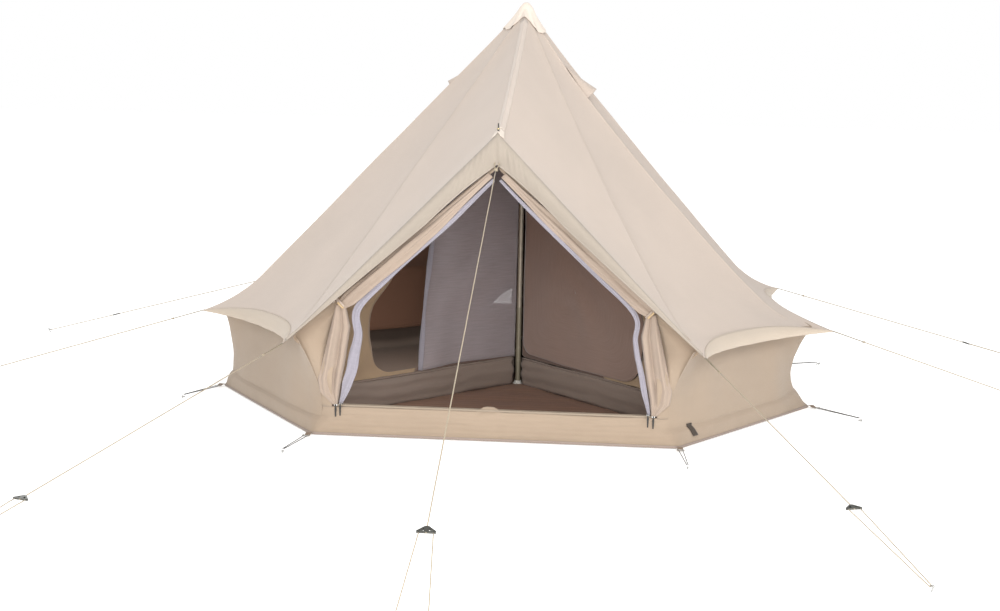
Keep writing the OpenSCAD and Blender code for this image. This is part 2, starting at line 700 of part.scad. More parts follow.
// The cover hangs open below the window, and swings up about its straight edge
cover_out = 9;
cover_half_w = window_half_w - 8;
module window_cover() color(wall_c) on_rear_wall() translate([0, -7, cover_out]) {
  linear_extrude(2) mirror([0, 1, 0]) half_moon(cover_half_w, window_rise);
  // The hem it turns about
  translate([-cover_half_w + 6, 0, 1]) rotate([0, 90, 0]) cylinder(h = 2 * cover_half_w - 12, r = 2.5);
}

// ================= Guy lines, runners and pegs =================
// Bearing and reach of each peg from its eave tip, in the order of the tips
guy_az = [20.5, 70, 101, 160, -160, -101, -70, -18.5];
guy_reach = [1920, 1450, 1600, 1700, 1700, 1600, 1450, 2420];
runner_share = 0.718;
peg_z = 12;
function guy_peg(i) = flat(tips[i]) + guy_reach[i] * [sin(guy_az[i]), -cos(guy_az[i]), 0] + [0, 0, peg_z];
door_knot = [0, -(peak_y + 4), door_top_z + 8];
door_runner = [0, -3754, 217];
door_peg_x = 50;
door_peg_y = -4130;
door_pegs = [[-door_peg_x, door_peg_y, peg_z], [door_peg_x, door_peg_y, peg_z]];
elastic_l = 150;
tip_gap = 14;
function guy_dir(i) = unit(guy_peg(i) - tips[i]);
function runner_at(i) = lerp(tips[i], guy_peg(i), runner_share);
cord_r = cord_d / 2;
leg_out = runner_w / 2 - 8;
// How far a cord's end lies beside the middle of its peg
peg_side = 5.2;

// Across a line, level with the ground
function across(d) = unit([-d[1], d[0], 0]);
module cord_to(a, b, pegs) {
  d = unit(b - a);
  rod(a, b + d * 8, cord_r);
  for (s = [-1, 1]) {
    peg = pegs[s < 0 || len(pegs) == 1 ? 0 : 1] + across(d) * s * peg_side;
    rod(b + across(d) * s * leg_out + d * 14, peg, cord_r);
  }
}
cord_c = [0.90, 0.86, 0.76];
module guy_cords() color(cord_c)
  for (i = [0:7]) cord_to(tips[i] + guy_dir(i) * (tip_gap + elastic_l), runner_at(i), [guy_peg(i)]);
door_dir = unit(door_runner - door_knot);
module door_guy_cord() color(cord_c)
  cord_to(door_knot + door_dir * 75, door_runner, door_pegs);

// Doubled shock cord: at the eave tips, above the door and from every ground corner to its peg
shock_r = 1.8;
corner_az = [4, 35, 112, 156, -156, -112, -18, -6.5];
function corner_out(i) = [sin(corner_az[i]), -cos(corner_az[i]), 0];
corner_peg_reach = 370;
module shock_cords() color(dark_c) {
  for (i = [0:7], s = [-1, 1]) {
    d = guy_dir(i);
    side = across(d) * s * 3.5;
    rod(tips[i] + d * tip_gap + side, tips[i] + d * (tip_gap + elastic_l - 4) + side, shock_r);
    out = corner_out(i);
    rod(ground[i] + out * 74 + across(out) * s * 9 + [0, 0, 5],
      ground[i] + out * (corner_peg_reach - 6) + across(out) * s * 3 + [0, 0, 9], shock_r);
  }
  for (s = [-1, 1]) rod(door_knot + [s * 9, 0, 0], door_knot + door_dir * 68 + [s * 3, 0, 0], shock_r);
}

// A runner: a triangular plate with the line through its middle, tip towards the tent
module runner(at, d) {
  along(at, at - d) rotate([0, 0, 90]) runner_plate();
}
runner_t = 7;
runner_half = runner_w / 2;
module runner_plate() difference() {
  rotate([90, 0, 0]) translate([0, 0, -runner_t / 2]) linear_extrude(runner_t) difference() {
    polygon([[-runner_half, -5], [runner_half, -5], [runner_half, 1], [6, 24], [-6, 24],
      [-runner_half, 1]]);
    for (s = [-1, 1]) polygon([[s * (runner_half - 8), 0], [s * 8, 0], [s * 8, 12]]);
  }
  translate([0, 0, -10]) cylinder(h = 50, r = cord_r + 0.9);
}
module runner_on(i) color(dark_c) runner(runner_at(i), guy_dir(i));
module runner_front_right() runner_on(0);
module runner_side_right() runner_on(1);
module runner_flank_right() runner_on(2);
module runner_rear_right() runner_on(3);
module runner_rear_left() runner_on(4);
module runner_flank_left() runner_on(5);
module runner_side_left() runner_on(6);
module runner_front_left() runner_on(7);
module runner_door() color(dark_c) runner(door_runner, door_dir);

// Pegs lean away from the tent, with a hook at the top
module peg(at, out) {
  head = at + [0, 0, 6] + out * 14;
  rod(head, head + unit([0, 0, -1] - out * 0.55) * peg_l, 3);
  rod(head, head - out * 22 - [0, 0, 6], 3);
  translate(head) sphere(r = 3.8);
}
module pegs() color(steel_c) {
  for (i = [0:7]) peg(guy_peg(i), unit(flat(guy_dir(i))));
  for (p = door_pegs) peg(p, [0, -1, 0]);
  for (i = [0:7]) peg(ground[i] + corner_out(i) * corner_peg_reach, corner_out(i));
}

// A webbing tab and a D-ring at every ground corner
module corner_tabs() color(tray_c)
  for (i = [0:7]) translate(ground[i] + [0, 0, 1]) rotate([0, 0, corner_az[i] - 90]) {
    translate([15, -14, 0]) cube([26, 28, 2.5]);
    translate([56, 0, 2]) difference() {
      cylinder(h = 4, r = 17);
      translate([0, 0, -1]) cylinder(h = 6, r = 13);
    }
  }

roof_canopy();
eave_band();
side_walls();
door_gable();
door_sill();
door_canvas_left();
door_canvas_right();
door_net_left();
door_net_right();
zip_chains();
zip_slider_left_outer();
zip_slider_left_inner();
zip_slider_right_outer();
zip_slider_right_inner();
zip_pull_left_outer();
zip_pull_left_inner();
zip_pull_right_outer();
zip_pull_right_inner();
tie_back_straps();
tie_toggle_left();
tie_toggle_right();
apex_cap();
vent_hoods();
vent_nets();
peak_patch();
peak_eyelet();
groundsheet();
pole_foot();
pole_lower();
pole_middle();
pole_clamp();
clamp_lever();
pole_upper();
pole_spike();
frame_head();
frame_rafters();
frame_legs();
frame_feet();
cabin_fronts();
cabin_shells();
cabin_trays();
cabin_door_left();
cabin_door_right();
window_net();
window_binding();
window_cover();
guy_cords();
door_guy_cord();
shock_cords();
runner_front_left();
runner_front_right();
runner_side_left();
runner_side_right();
runner_flank_left();
runner_flank_right();
runner_rear_left();
runner_rear_right();
runner_door();
pegs();
corner_tabs();
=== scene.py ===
import json
import math

import bpy
import numpy as np
from mathutils import Matrix, Vector, noise


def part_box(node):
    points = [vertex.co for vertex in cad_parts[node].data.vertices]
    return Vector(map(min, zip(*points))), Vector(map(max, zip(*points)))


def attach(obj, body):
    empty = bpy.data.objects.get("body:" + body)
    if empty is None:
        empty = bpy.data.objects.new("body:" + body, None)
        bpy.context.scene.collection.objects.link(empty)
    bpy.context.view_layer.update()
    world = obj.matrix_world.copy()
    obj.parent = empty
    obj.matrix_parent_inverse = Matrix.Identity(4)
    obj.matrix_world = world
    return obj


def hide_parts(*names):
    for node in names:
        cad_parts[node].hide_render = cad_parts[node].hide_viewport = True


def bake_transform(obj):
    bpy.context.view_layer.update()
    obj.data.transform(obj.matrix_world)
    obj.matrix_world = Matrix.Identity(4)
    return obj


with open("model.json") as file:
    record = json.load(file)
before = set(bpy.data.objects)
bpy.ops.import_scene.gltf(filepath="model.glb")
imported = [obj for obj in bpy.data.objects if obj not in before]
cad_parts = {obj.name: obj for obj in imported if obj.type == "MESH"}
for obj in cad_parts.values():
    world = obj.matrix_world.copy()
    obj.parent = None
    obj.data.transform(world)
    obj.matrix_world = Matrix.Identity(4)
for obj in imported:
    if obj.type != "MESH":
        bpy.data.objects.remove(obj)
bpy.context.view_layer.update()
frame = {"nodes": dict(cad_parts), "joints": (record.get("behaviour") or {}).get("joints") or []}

# Everything is in metres, in the part's own frame: the door faces -Y and +Z is up.
ROOT = "tent"

# ---------------------------------------------------------------- small helpers


def lerp(a, b, t):
    return a + (b - a) * t


def unit(v):
    return v / np.linalg.norm(v)


def vec(*xyz):
    return np.array(xyz, float)


def flat(p):
    return vec(p[0], p[1], 0)


def smooth(t):
    """0 below 0, 1 above 1, and an even S between."""
    t = np.clip(t, 0, 1)
    return t * t * (3 - 2 * t)


def mirrored(p, side):
    """The point on the right for side 1, and on the left for side -1."""
    return p * vec(side, 1, 1)


def flip(p):
    return mirrored(p, -1)


def hump(x, centre, width, power=2):
    """1 at the centre, falling smoothly to nothing about a width away."""
    return math.exp(-(((x - centre) / width) ** power))


def ripple(p, scale, seed=0.0):
    """Smooth repeatable noise between about -1 and 1."""
    return noise.noise(Vector(p) * scale + Vector((seed, seed * 1.7, seed * 0.6)))


def node_points(name):
    """The corners of a CAD solid's faces."""
    mesh = frame["nodes"][name].data
    points = np.empty(len(mesh.vertices) * 3)
    mesh.vertices.foreach_get("co", points)
    return points.reshape(-1, 3)


# ---------------------------------------------------------------- outline, read from the CAD solids

SIDES = range(7)
SEAM_INSET = 0.170
SEAM_RISE = 0.046
BAND_WIDTH = 0.080
BAND_END = 0.006
TIP_REACH = 0.165
APEX_RING = 0.024
FLOOR_SCALE = 0.993
DOOR_LEAN = math.radians(3.2)

floor_points = node_points("groundsheet")
corner_set = {tuple(np.round(p[:2], 4)) for p in floor_points}
by_bearing = sorted(corner_set, key=lambda p: math.degrees(math.atan2(p[0], -p[1])) % 360)
GROUND = [vec(x, y, 0) / FLOOR_SCALE for x, y in by_bearing]
roof_points = node_points("roof_canopy")
TIPS = [roof_points[np.argmax(roof_points @ unit(g))] for g in GROUND]
APEX_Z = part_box("apex_cap")[1].z - 0.045
near_ridge = roof_points[np.abs(roof_points[:, 0]) < 0.004]
PEAK = near_ridge[np.argmin(near_ridge[:, 1])] * vec(0, 1, 1)
DOOR_Y = GROUND[0][1]
SILL_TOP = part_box("door_sill")[1].z


def bow(t):
    """0 at both ends of a side and nearly 1 along most of it."""
    return 1 - abs(2 * t - 1) ** 2.6


def side_dir(i):
    """The level direction out of side i."""
    run = GROUND[i + 1] - GROUND[i]
    out = unit(vec(run[1], -run[0], 0))
    return out * np.sign(out @ (GROUND[i] + GROUND[i + 1]))


def seam(i, t):
    """The seam between roof and band over side i, hanging in a curve between two tips."""
    return lerp(TIPS[i], TIPS[i + 1], t) + bow(t) * (vec(0, 0, SEAM_RISE) - side_dir(i) * SEAM_INSET)


def apex_point(p):
    """Where the roof's line through p meets the ring under the cap."""
    return unit(flat(p)) * APEX_RING + vec(0, 0, APEX_Z)


def knee(i, t):
    """Where the roof over side i bends out towards its edge."""
    s, k = seam(i, t), 1 - bow(t)
    return s - unit(flat(s)) * (0.020 + TIP_REACH * k) + vec(0, 0, 0.020 + 0.048 * k)


def front_edge(t):
    """The roof's front edge, from the ridge's low end (0) to the right-hand eave tip (1)."""
    return lerp(PEAK, TIPS[0], t)


def front_knee(t):
    p = front_edge(t)
    return lerp(p, apex_point(p), 0.05) - vec(0, 0, 0.014 * t**5)


def door_y(z, front=0.0):
    """The door's plane leans forward with height."""
    return DOOR_Y - z * math.tan(DOOR_LEAN) - front


# ---------------------------------------------------------------- mesh building


def cumulative(points):
    """The distance along a path at each of its points."""
    steps = np.linalg.norm(np.diff(points, axis=0), axis=1)
    return np.concatenate([[0], np.cumsum(steps)])


def point_at(points, lengths, reach):
    """The point, or the normal, a given distance along a path."""
    return np.array([np.interp(reach, lengths, points[:, k]) for k in range(3)])


def grid(name, rows, closed=False, thickness=0.0016, skip=None):
    """A sheet over rows of points, with UVs in metres along and down the cloth."""
    rows = np.asarray(rows, float)
    count_r, count_c = rows.shape[:2]
    wide = count_c if closed else count_c - 1
    i, j = np.meshgrid(np.arange(count_r - 1), np.arange(wide), indexing="ij")
    i, j = i.ravel(), j.ravel()
    k = (j + 1) % count_c
    this, below = i * count_c, (i + 1) * count_c
    faces = np.stack([this + j, this + k, below + k, below + j], 1)
    points = rows.reshape(-1, 3)
    middle = rows[count_r // 2]
    along = cumulative(np.vstack([middle, middle[:1]]))
    down = cumulative(rows[:, count_c // 2])
    left, right, top, foot = along[j], along[j + 1], down[i], down[i + 1]
    uv = np.stack([left, top, right, top, right, foot, left, foot], 1)
    if skip is not None:
        keep = ~np.array([skip(points[f].mean(0)) for f in faces])
        faces, uv = faces[keep], uv[keep]
    mesh = bpy.data.meshes.new(name)
    mesh.from_pydata(points.tolist(), [], faces.tolist())
    mesh.uv_layers.new(name="Cloth").data.foreach_set("uv", uv.ravel())
    mesh.polygons.foreach_set("use_smooth", [True] * len(mesh.polygons))
    obj = bpy.data.objects.new(name, mesh)
    bpy.context.scene.collection.objects.link(obj)
    if thickness:
        solid = obj.modifiers.new("Thickness", "SOLIDIFY")
        solid.thickness = thickness
        solid.offset = 0
    return obj


def join(name, objects):
    """One object out of several, with their modifiers applied."""
    graph = bpy.context.evaluated_depsgraph_get()
    graph.update()
    for o in objects:
        applied = bpy.data.meshes.new_from_object(o.evaluated_get(graph))
        o.modifiers.clear()
        o.data = applied
    with bpy.context.temp_override(active_object=objects[0], selected_editable_objects=objects):
        bpy.ops.object.join()
    objects[0].name = name
    return objects[0]


def frames_along(path, up=(0, 0, 1)):
    """Tangent, side and normal at every point of a path."""
    path = np.asarray(path, float)
    tangents = np.gradient(path, axis=0)
    tangents /= np.linalg.norm(tangents, axis=1)[:, None]
    sides = np.cross(tangents, np.asarray(up, float))
    sides /= np.linalg.norm(sides, axis=1)[:, None]
    return tangents, sides, np.cross(sides, tangents)


def loft(name, path, section, around=24, up=(0, 0, 1)):
    """A closed tube along a path. section(s, angle) gives (sideways, outwards) offsets in metres."""
    path = np.asarray(path, float)
    _, sides, normals = frames_along(path, up)
    angles = np.arange(around) * math.tau / around
    rows = []
    for k, p in enumerate(path):
        s = k / (len(path) - 1)
        offsets = [section(s, a) for a in angles]
        rows.append([p + sides[k] * x + normals[k] * y for x, y in offsets])
    rows = [[np.mean(rows[0], 0)] * around] + rows + [[np.mean(rows[-1], 0)] * around]
    return grid(name, rows, closed=True, thickness=0)


def cord(name, path, radius, around=8, twist=0.0):
    """A round cord with a slight braid."""
    length = cumulative(np.asarray(path, float))[-1]

    def section(s, a):
        r = radius * (1 + 0.10 * math.sin(3 * a + s * length * twist))
        return r * math.cos(a), r * math.sin(a)

    tangent = unit(np.asarray(path[-1], float) - np.asarray(path[0], float))
    up = (1, 0, 0) if abs(tangent[2]) > 0.9 else (0, 0, 1)
    return loft(name, path, section, around, up)


def line(a, b, count):
    return [lerp(np.asarray(a, float), np.asarray(b, float), t) for t in np.linspace(0, 1, count)]


def curve_through(points, count):
    """A smooth path through a few points (Catmull-Rom)."""
    p = [2 * np.asarray(points[0], float) - points[1], *[np.asarray(q, float) for q in points]]
    p.append(2 * p[-1] - p[-2])
    path = []
    for t in np.linspace(0, len(points) - 1 - 1e-9, count):
        i, f = int(t), t - int(t)
        a, b, c, d = p[i : i + 4]
        square = 2 * a - 5 * b + 4 * c - d
        cube = 3 * b - a - 3 * c + d
        path.append(0.5 * (2 * b + (c - a) * f + square * f**2 + cube * f**3))
    return path


# ---------------------------------------------------------------- materials


def add(tree, kind, inputs=None, **settings):
    """A shader node; inputs are values or sockets to link."""
    node = tree.nodes.new(kind)
    for key, value in settings.items():
        setattr(node, key, value)
    for key, value in (inputs or {}).items():
        if isinstance(value, bpy.types.NodeSocket):
            tree.links.new(value, node.inputs[key])
        else:
            node.inputs[key].default_value = value
    return node


def new_material(name):
    mat = bpy.data.materials.new(name)
    mat.use_nodes = True
    tree = mat.node_tree
    return mat, tree, tree.nodes["Principled BSDF"], tree.nodes["Material Output"]


def mixed(tree, factor, a, b, blend="MIX"):
    """Two colours mixed by a factor."""
    inputs = {0: factor, 6: a, 7: b}
    return add(tree, "ShaderNodeMix", inputs, data_type="RGBA", blend_type=blend).outputs[2]


def multiply(tree, a, b):
    return mixed(tree, 1.0, a, b, "MULTIPLY")


def shaded(tree, colour, low, high, factor):
    """The colour scaled between low and high by a factor socket."""
    dark = [c * low for c in colour[:3]] + [1]
    light = [min(1, c * high) for c in colour[:3]] + [1]
    return mixed(tree, factor, dark, light)


def maths(tree, operation, *values):
    return add(tree, "ShaderNodeMath", dict(enumerate(values)), operation=operation).outputs[0]


def noise_of(tree, vector, scale, detail, **inputs):
    inputs = {0: vector, "Scale": scale, "Detail": detail, **inputs}
    return add(tree, "ShaderNodeTexNoise", inputs).outputs[0]


def ranged(tree, value, source=(0.0, 1.0), target=(0.0, 1.0)):
    """A value moved from one range to another."""
    inputs = {0: value, 1: source[0], 2: source[1], 3: target[0], 4: target[1]}
    return add(tree, "ShaderNodeMapRange", inputs).outputs[0]


def component(tree, vector, axis):
    return add(tree, "ShaderNodeSeparateXYZ", {0: vector}).outputs[axis]


def relief(tree, bsdf, height, strength, distance):
    bump = add(tree, "ShaderNodeBump", {"Height": height, "Strength": strength, "Distance": distance})
    tree.links.new(bump.outputs[0], bsdf.inputs["Normal"])


WHITE = (1, 1, 1)
GRIME = (0.20, 0.15, 0.10, 1)
GRIME_HEIGHT = 0.11
SLUB_STRETCH = (9, 160, 1)


def woven(tree, uv, thread):
    """Crossed threads with slubs, and the slubs alone, both from 0 to 1."""
    turn = math.tau / thread
    phases = [maths(tree, "MULTIPLY", component(tree, uv, axis), turn) for axis in (0, 1)]
    warp, weft = [maths(tree, "SINE", phase) for phase in phases]
    threads = maths(tree, "MULTIPLY_ADD", maths(tree, "MULTIPLY", warp, weft), 0.5, 0.5)
    stretched = add(tree, "ShaderNodeMapping", {0: uv, 3: SLUB_STRETCH}).outputs[0]
    slubs = noise_of(tree, stretched, 1.0, 3.0)
    both = maths(tree, "ADD", maths(tree, "MULTIPLY", threads, 0.5), maths(tree, "MULTIPLY", slubs, 0.5))
    return both, slubs


def second_colour(tree, shade, colour, upper, spot, patches):
    """Another colour that takes over between two heights."""
    second, low_z, high_z = upper
    share = ranged(tree, component(tree, spot, 2), (low_z, high_z))
    tint = shaded(tree, [b / a for a, b in zip(colour, second)], 1.0, 1.0, patches)
    return multiply(tree, shade, mixed(tree, share, (1, 1, 1, 1), tint))


def striped(tree, shade, stripe, spot):
    """Woven stripes across the cloth, given as their pitch and depth."""
    pitch, depth = stripe
    bands = maths(tree, "SINE", maths(tree, "MULTIPLY", component(tree, spot, 1), math.tau / pitch))
    bands = ranged(tree, bands, (0.1, 0.7))
    return multiply(tree, shade, shaded(tree, WHITE, 1 - depth, 1.0, bands))


def soiled(tree, shade, dirt, spot):
    """Splashed dirt just above the ground."""
    grime = noise_of(tree, spot, 14.0, 5.0)
    low = ranged(tree, component(tree, spot, 2), (0.0, GRIME_HEIGHT), (1.0, 0.0))
    amount = maths(tree, "MULTIPLY", maths(tree, "MULTIPLY", low, grime), dirt)
    return mixed(tree, amount, shade, GRIME)


def cloth(name, colour, rough=0.88, thread=0.0022, variation=0.07, weave=0.10, sheen=0.2, glow=0.0,
          opacity=1.0, bump=0.35, dirt=0.0, stripe=None, upper=None):
    """Woven cloth with uneven dye. glow is the share of light that passes through.

    upper is a second colour with the heights between which it takes over.
    """
    mat, tree, bsdf, out = new_material(name)
    coords = add(tree, "ShaderNodeTexCoord")
    spot = coords.outputs["Object"]
    fine, slubs = woven(tree, coords.outputs["UV"], thread)
    patches = noise_of(tree, spot, 2.3, 6.0, Roughness=0.62)
    shade = shaded(tree, colour, 1 - variation, 1 + variation, patches)
    shade = multiply(tree, shade, shaded(tree, WHITE, 1 - weave, 1.0, fine))
    if upper:
        shade = second_colour(tree, shade, colour, upper, spot, patches)
    if stripe:
        shade = striped(tree, shade, stripe, spot)
    if dirt:
        shade = soiled(tree, shade, dirt, spot)
    tree.links.new(shade, bsdf.inputs["Base Color"])
    uneven = ranged(tree, slubs, target=(rough - 0.06, min(1, rough + 0.06)))
    tree.links.new(uneven, bsdf.inputs["Roughness"])
    bsdf.inputs["Sheen Weight"].default_value = sheen
    bsdf.inputs["Sheen Roughness"].default_value = 0.5
    bsdf.inputs["Specular IOR Level"].default_value = 0.25
    relief(tree, bsdf, fine, bump, 0.0012)
    surface = bsdf.outputs[0]
    if glow:
        through = add(tree, "ShaderNodeBsdfTranslucent", {0: shade})
        surface = add(tree, "ShaderNodeMixShader", {0: glow, 1: surface, 2: through.outputs[0]}).outputs[0]
    if opacity < 1:
        creases = ranged(tree, slubs, target=(opacity - 0.06, opacity + 0.06))
        clear = add(tree, "ShaderNodeBsdfTransparent")
        surface = add(tree, "ShaderNodeMixShader", {0: creases, 1: clear.outputs[0], 2: surface}).outputs[0]
    tree.links.new(surface, out.inputs["Surface"])
    return mat


def netting(name, colour, opacity, weave, sheen, upper=None):
    return cloth(name, colour, thread=0.003, weave=weave, sheen=sheen, opacity=opacity, bump=0.2,
                 upper=upper)


def braid(name, colour, thread):
    return cloth(name, colour, thread=thread, weave=0.3, bump=0.6)


def hard(name, colour, rough=0.4, metallic=0.0, grain=(40, 40, 40), variation=0.10, bump=0.10, coat=0.0,
         wear=0.0):
    """Metal, plastic or wood: grain in its colour, roughness and relief, and lighter worn patches."""
    mat, tree, bsdf, _ = new_material(name)
    spot = add(tree, "ShaderNodeTexCoord").outputs["Object"]
    stretched = add(tree, "ShaderNodeMapping", {0: spot, 3: grain}).outputs[0]
    fine = noise_of(tree, stretched, 1.0, 5.0)
    broad = noise_of(tree, spot, 18.0, 3.0)
    shade = shaded(tree, colour, 1 - variation, 1 + variation, fine)
    if wear:
        worn = ranged(tree, broad, (0.56, 0.70), (0.0, wear))
        light = [min(1, c * 1.6 + 0.08) for c in colour[:3]] + [1]
        shade = mixed(tree, worn, shade, light)
    tree.links.new(shade, bsdf.inputs["Base Color"])
    spread = ranged(tree, broad, target=(max(0.02, rough - 0.12), rough + 0.12))
    tree.links.new(spread, bsdf.inputs["Roughness"])
    relief(tree, bsdf, fine, bump, 0.0005)
    bsdf.inputs["Metallic"].default_value = metallic
    bsdf.inputs["Coat Weight"].default_value = coat
    return mat


ROOF = cloth("roof_cotton", (0.645, 0.545, 0.470), glow=0.12)
BAND = cloth("band_cotton", (0.66, 0.56, 0.455), glow=0.15)
RIDGE = cloth("ridge_cotton", (0.70, 0.605, 0.53), glow=0.12)
WALL = cloth("wall_cotton", (0.405, 0.315, 0.237), glow=0.08, dirt=0.35)
CAP = cloth("cap_cotton", (0.75, 0.66, 0.575), weave=0.05)
DOOR = cloth("door_cotton", (0.43, 0.34, 0.275), glow=0.10)
# Painted shade: the hood and the front hem are the roof's own cotton, painted darker for the shade under
# the roof's front edge.
HOOD_PAINTED_SHADE = cloth("hood_cotton_painted_shade", (0.395, 0.343, 0.290), glow=0.10)
NET = netting("netting", (0.30, 0.28, 0.30), 0.30, 0.35, 0.4)
NET_HEM = netting("net_hem", (0.35, 0.33, 0.38), 0.93, 0.2, 0.5)
NET_PANEL = netting("cabin_netting", (0.56, 0.50, 0.53), 0.55, 0.3, 0.5)
NET_CLOSED = netting("cabin_net_closed", (0.38, 0.265, 0.22), 0.93, 0.3, 0.4,
                     upper=((0.27, 0.15, 0.105), 0.35, 1.1))
STRIP = cloth("cabin_strip", (0.44, 0.32, 0.21), thread=0.003)
HEAD = cloth("cabin_head", (0.21, 0.145, 0.120), thread=0.003, glow=0.10)
TRAY = cloth("tray_fabric", (0.30, 0.240, 0.205), rough=0.62, thread=0.003, sheen=0.1)
CABIN = cloth("brown_fabric", (0.34, 0.19, 0.13), rough=0.8, thread=0.003, glow=0.30)
FLOOR = cloth("floor_fabric", (0.37, 0.215, 0.15), rough=0.55, thread=0.004, sheen=0.05,
              stripe=(0.055, 0.12))
CORD = braid("guy_cord", (0.42, 0.35, 0.25), 0.004)
ELASTIC_MAT = braid("shock_cord", (0.045, 0.042, 0.040), 0.003)
TIP_ELASTIC = braid("tip_elastic", (0.30, 0.25, 0.17), 0.003)
WEBBING = braid("webbing", (0.24, 0.17, 0.12), 0.0025)
TAG = cloth("tag", (0.05, 0.035, 0.025), thread=0.003, weave=0.2)
STEEL = hard("pole_steel", (0.40, 0.345, 0.27), 0.45, 0.25, (300, 300, 8), wear=0.3)
OLIVE = hard("pole_olive", (0.26, 0.23, 0.165), 0.45, 0.2, (60, 60, 12), wear=0.3)
BRASS = hard("brass", (0.75, 0.60, 0.32), 0.3, 1.0, wear=0.2)
SILVER = hard("zip_metal", (0.72, 0.72, 0.72), 0.28, 1.0, (200, 30, 30), wear=0.2)
LEVER = hard("lever_metal", (0.16, 0.16, 0.15), 0.35, 0.9, (200, 30, 30), wear=0.4)
PLASTIC = hard("black_plastic", (0.03, 0.028, 0.026), 0.5, 0.0, (400, 400, 400), wear=0.15)
FOOT = hard("foot_plastic", (0.66, 0.64, 0.60), 0.45, 0.0, (400, 400, 400), wear=0.1)
RUBBER = hard("black_rubber", (0.022, 0.020, 0.018), 0.6, 0.0, (500, 500, 500), wear=0.1)
WOOD = hard("wood", (0.50, 0.36, 0.20), 0.5, 0.0, (30, 400, 400), 0.25, 0.3, coat=0.1)
RUNNER = hard("runner_metal", (0.11, 0.11, 0.10), 0.38, 0.8, (60, 60, 60), wear=0.5)
PEG = hard("peg_steel", (0.42, 0.42, 0.41), 0.35, 1.0, (60, 60, 200), wear=0.4)
ZIP = hard("zip_plastic", (0.30, 0.24, 0.18), 0.5, 0.0, (600, 40, 600), 0.3, 0.5)


# ---------------------------------------------------------------- placing pieces


def paint(obj, mat):
    obj.data.materials.clear()
    obj.data.materials.append(mat)
    return obj


def place(obj, mat, body=ROOT, stands_for=()):
    """Paints a piece and hangs it on its body. Pieces for body "roof", the fabric over the pole, are only
    baked in place.
    """
    paint(obj, mat)
    if body == "roof":
        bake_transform(obj)
    else:
        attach(obj, body)
    if stands_for:
        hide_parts(*stands_for)
    return obj


# ---------------------------------------------------------------- roof

RIDGE_SAG = 0.045
SEAM_SAG = [0.10, 0.03, 0.02, 0.02, 0.02, 0.0]
BELLY = 0.014
FRONT_COLUMNS = 26
SIDE_COLUMNS = 34
STRAIGHT_ROWS = 46
BEND_ROWS = 16
BEND_REACH = 0.16


def side_spread(count):
    """Shares of a side, closer together by its ends."""
    return [0.5 - 0.5 * math.cos(math.pi * k / count) for k in range(count)]


def front_sag(t, seam_sag):
    """Sag of a front panel between the ridge and a seam."""
    return lerp(RIDGE_SAG, seam_sag, t * 0.6)


def roof_columns():
    """(edge point, knee point, sag of the nearest seams, belly between them) round the whole roof."""
    columns = []
    for k in range(FRONT_COLUMNS):
        t = k / FRONT_COLUMNS
        sag = front_sag(t, SEAM_SAG[0])
        columns.append((front_edge(t), front_knee(t), sag, math.sin(math.pi * t)))
    corners = [front_sag(1, SEAM_SAG[0]), *SEAM_SAG, front_sag(1, SEAM_SAG[-1])]
    for i in SIDES:
        for t in side_spread(SIDE_COLUMNS):
            bend = knee(i, t)
            if i == 0:
                bend = lerp(bend, front_knee(1), (1 - t) ** 3)
            if i == 6:
                bend = lerp(bend, flip(front_knee(1)), t**3)
            columns.append((seam(i, t), bend, lerp(corners[i], corners[i + 1], t), 4 * t * (1 - t)))
    for k in range(FRONT_COLUMNS):
        t = 1 - k / FRONT_COLUMNS
        sag = front_sag(t, SEAM_SAG[-1])
        columns.append((flip(front_edge(t)), flip(front_knee(t)), sag, math.sin(math.pi * t)))
    return columns


def roof_line(edge, bend):
    """Points down the roof: straight from the apex, then bending over the knee to the edge."""
    top = apex_point(edge)
    start = bend + unit(top - bend) * BEND_REACH
    points = [lerp(top, start, k / STRAIGHT_ROWS) for k in range(STRAIGHT_ROWS)]
    for k in range(BEND_ROWS + 1):
        t = k / BEND_ROWS
        points.append((1 - t) ** 2 * start + 2 * t * (1 - t) * bend + t**2 * edge)
    return points


def sag_shape(u):
    """Falls quickly below the cap, stays, and comes back at the eave."""
    return (1 - (1 - u) ** 5) * (1 - u**10)


def outward_normals(rows):
    """Unit normals of a closed sheet, taken evenly from both sides of every column."""
    down = np.gradient(rows, axis=0)
    total = np.zeros_like(rows)
    for step in (np.roll(rows, -1, axis=1) - rows, rows - np.roll(rows, 1, axis=1)):
        n = np.cross(down, step)
        total += n / np.linalg.norm(n, axis=2)[..., None]
    total /= np.linalg.norm(total, axis=2)[..., None]
    return total * np.sign(total[..., 2:3])


def lift_directions(edges):
    """Up and out from every column of the roof, turning smoothly round the tent."""
    return np.array([unit(unit(flat(p)) * 0.62 + vec(0, 0, 0.78)) for p in edges])


def crease(p):
    """Small uneven pulls in the roof's cloth."""
    broad = ripple(p * vec(1, 1, 0.6), 2.4, 3.1) * 0.004
    return broad + ripple(p * vec(1, 1, 0.25), 7.0, 9.2) * 0.0012


def roof_rows():
    """The roof's points, row by row from the apex down, and its normals."""
    columns = roof_columns()
    rows = np.array([roof_line(c[0], c[1]) for c in columns]).transpose(1, 0, 2)
    lifts = lift_directions([c[0] for c in columns])[None, :, :]
    sags = np.array([c[2] for c in columns])
    bellies = np.array([c[3] for c in columns]) * BELLY
    lengths = np.array([cumulative(rows[:, j]) for j in range(rows.shape[1])]).T
    share = lengths / lengths[-1]
    depth = (sags + bellies)[None, :] * sag_shape(share)
    calm = (1 - share**8) * np.minimum(1, share * 6)
    creases = np.array([[crease(p) for p in row] for row in rows]) * calm
    rows = rows - lifts * (depth + creases)[..., None]
    return rows, outward_normals(rows)


ROOF_ROWS, ROOF_NORMALS = roof_rows()
SIDE_START = [FRONT_COLUMNS + i * SIDE_COLUMNS for i in range(8)]


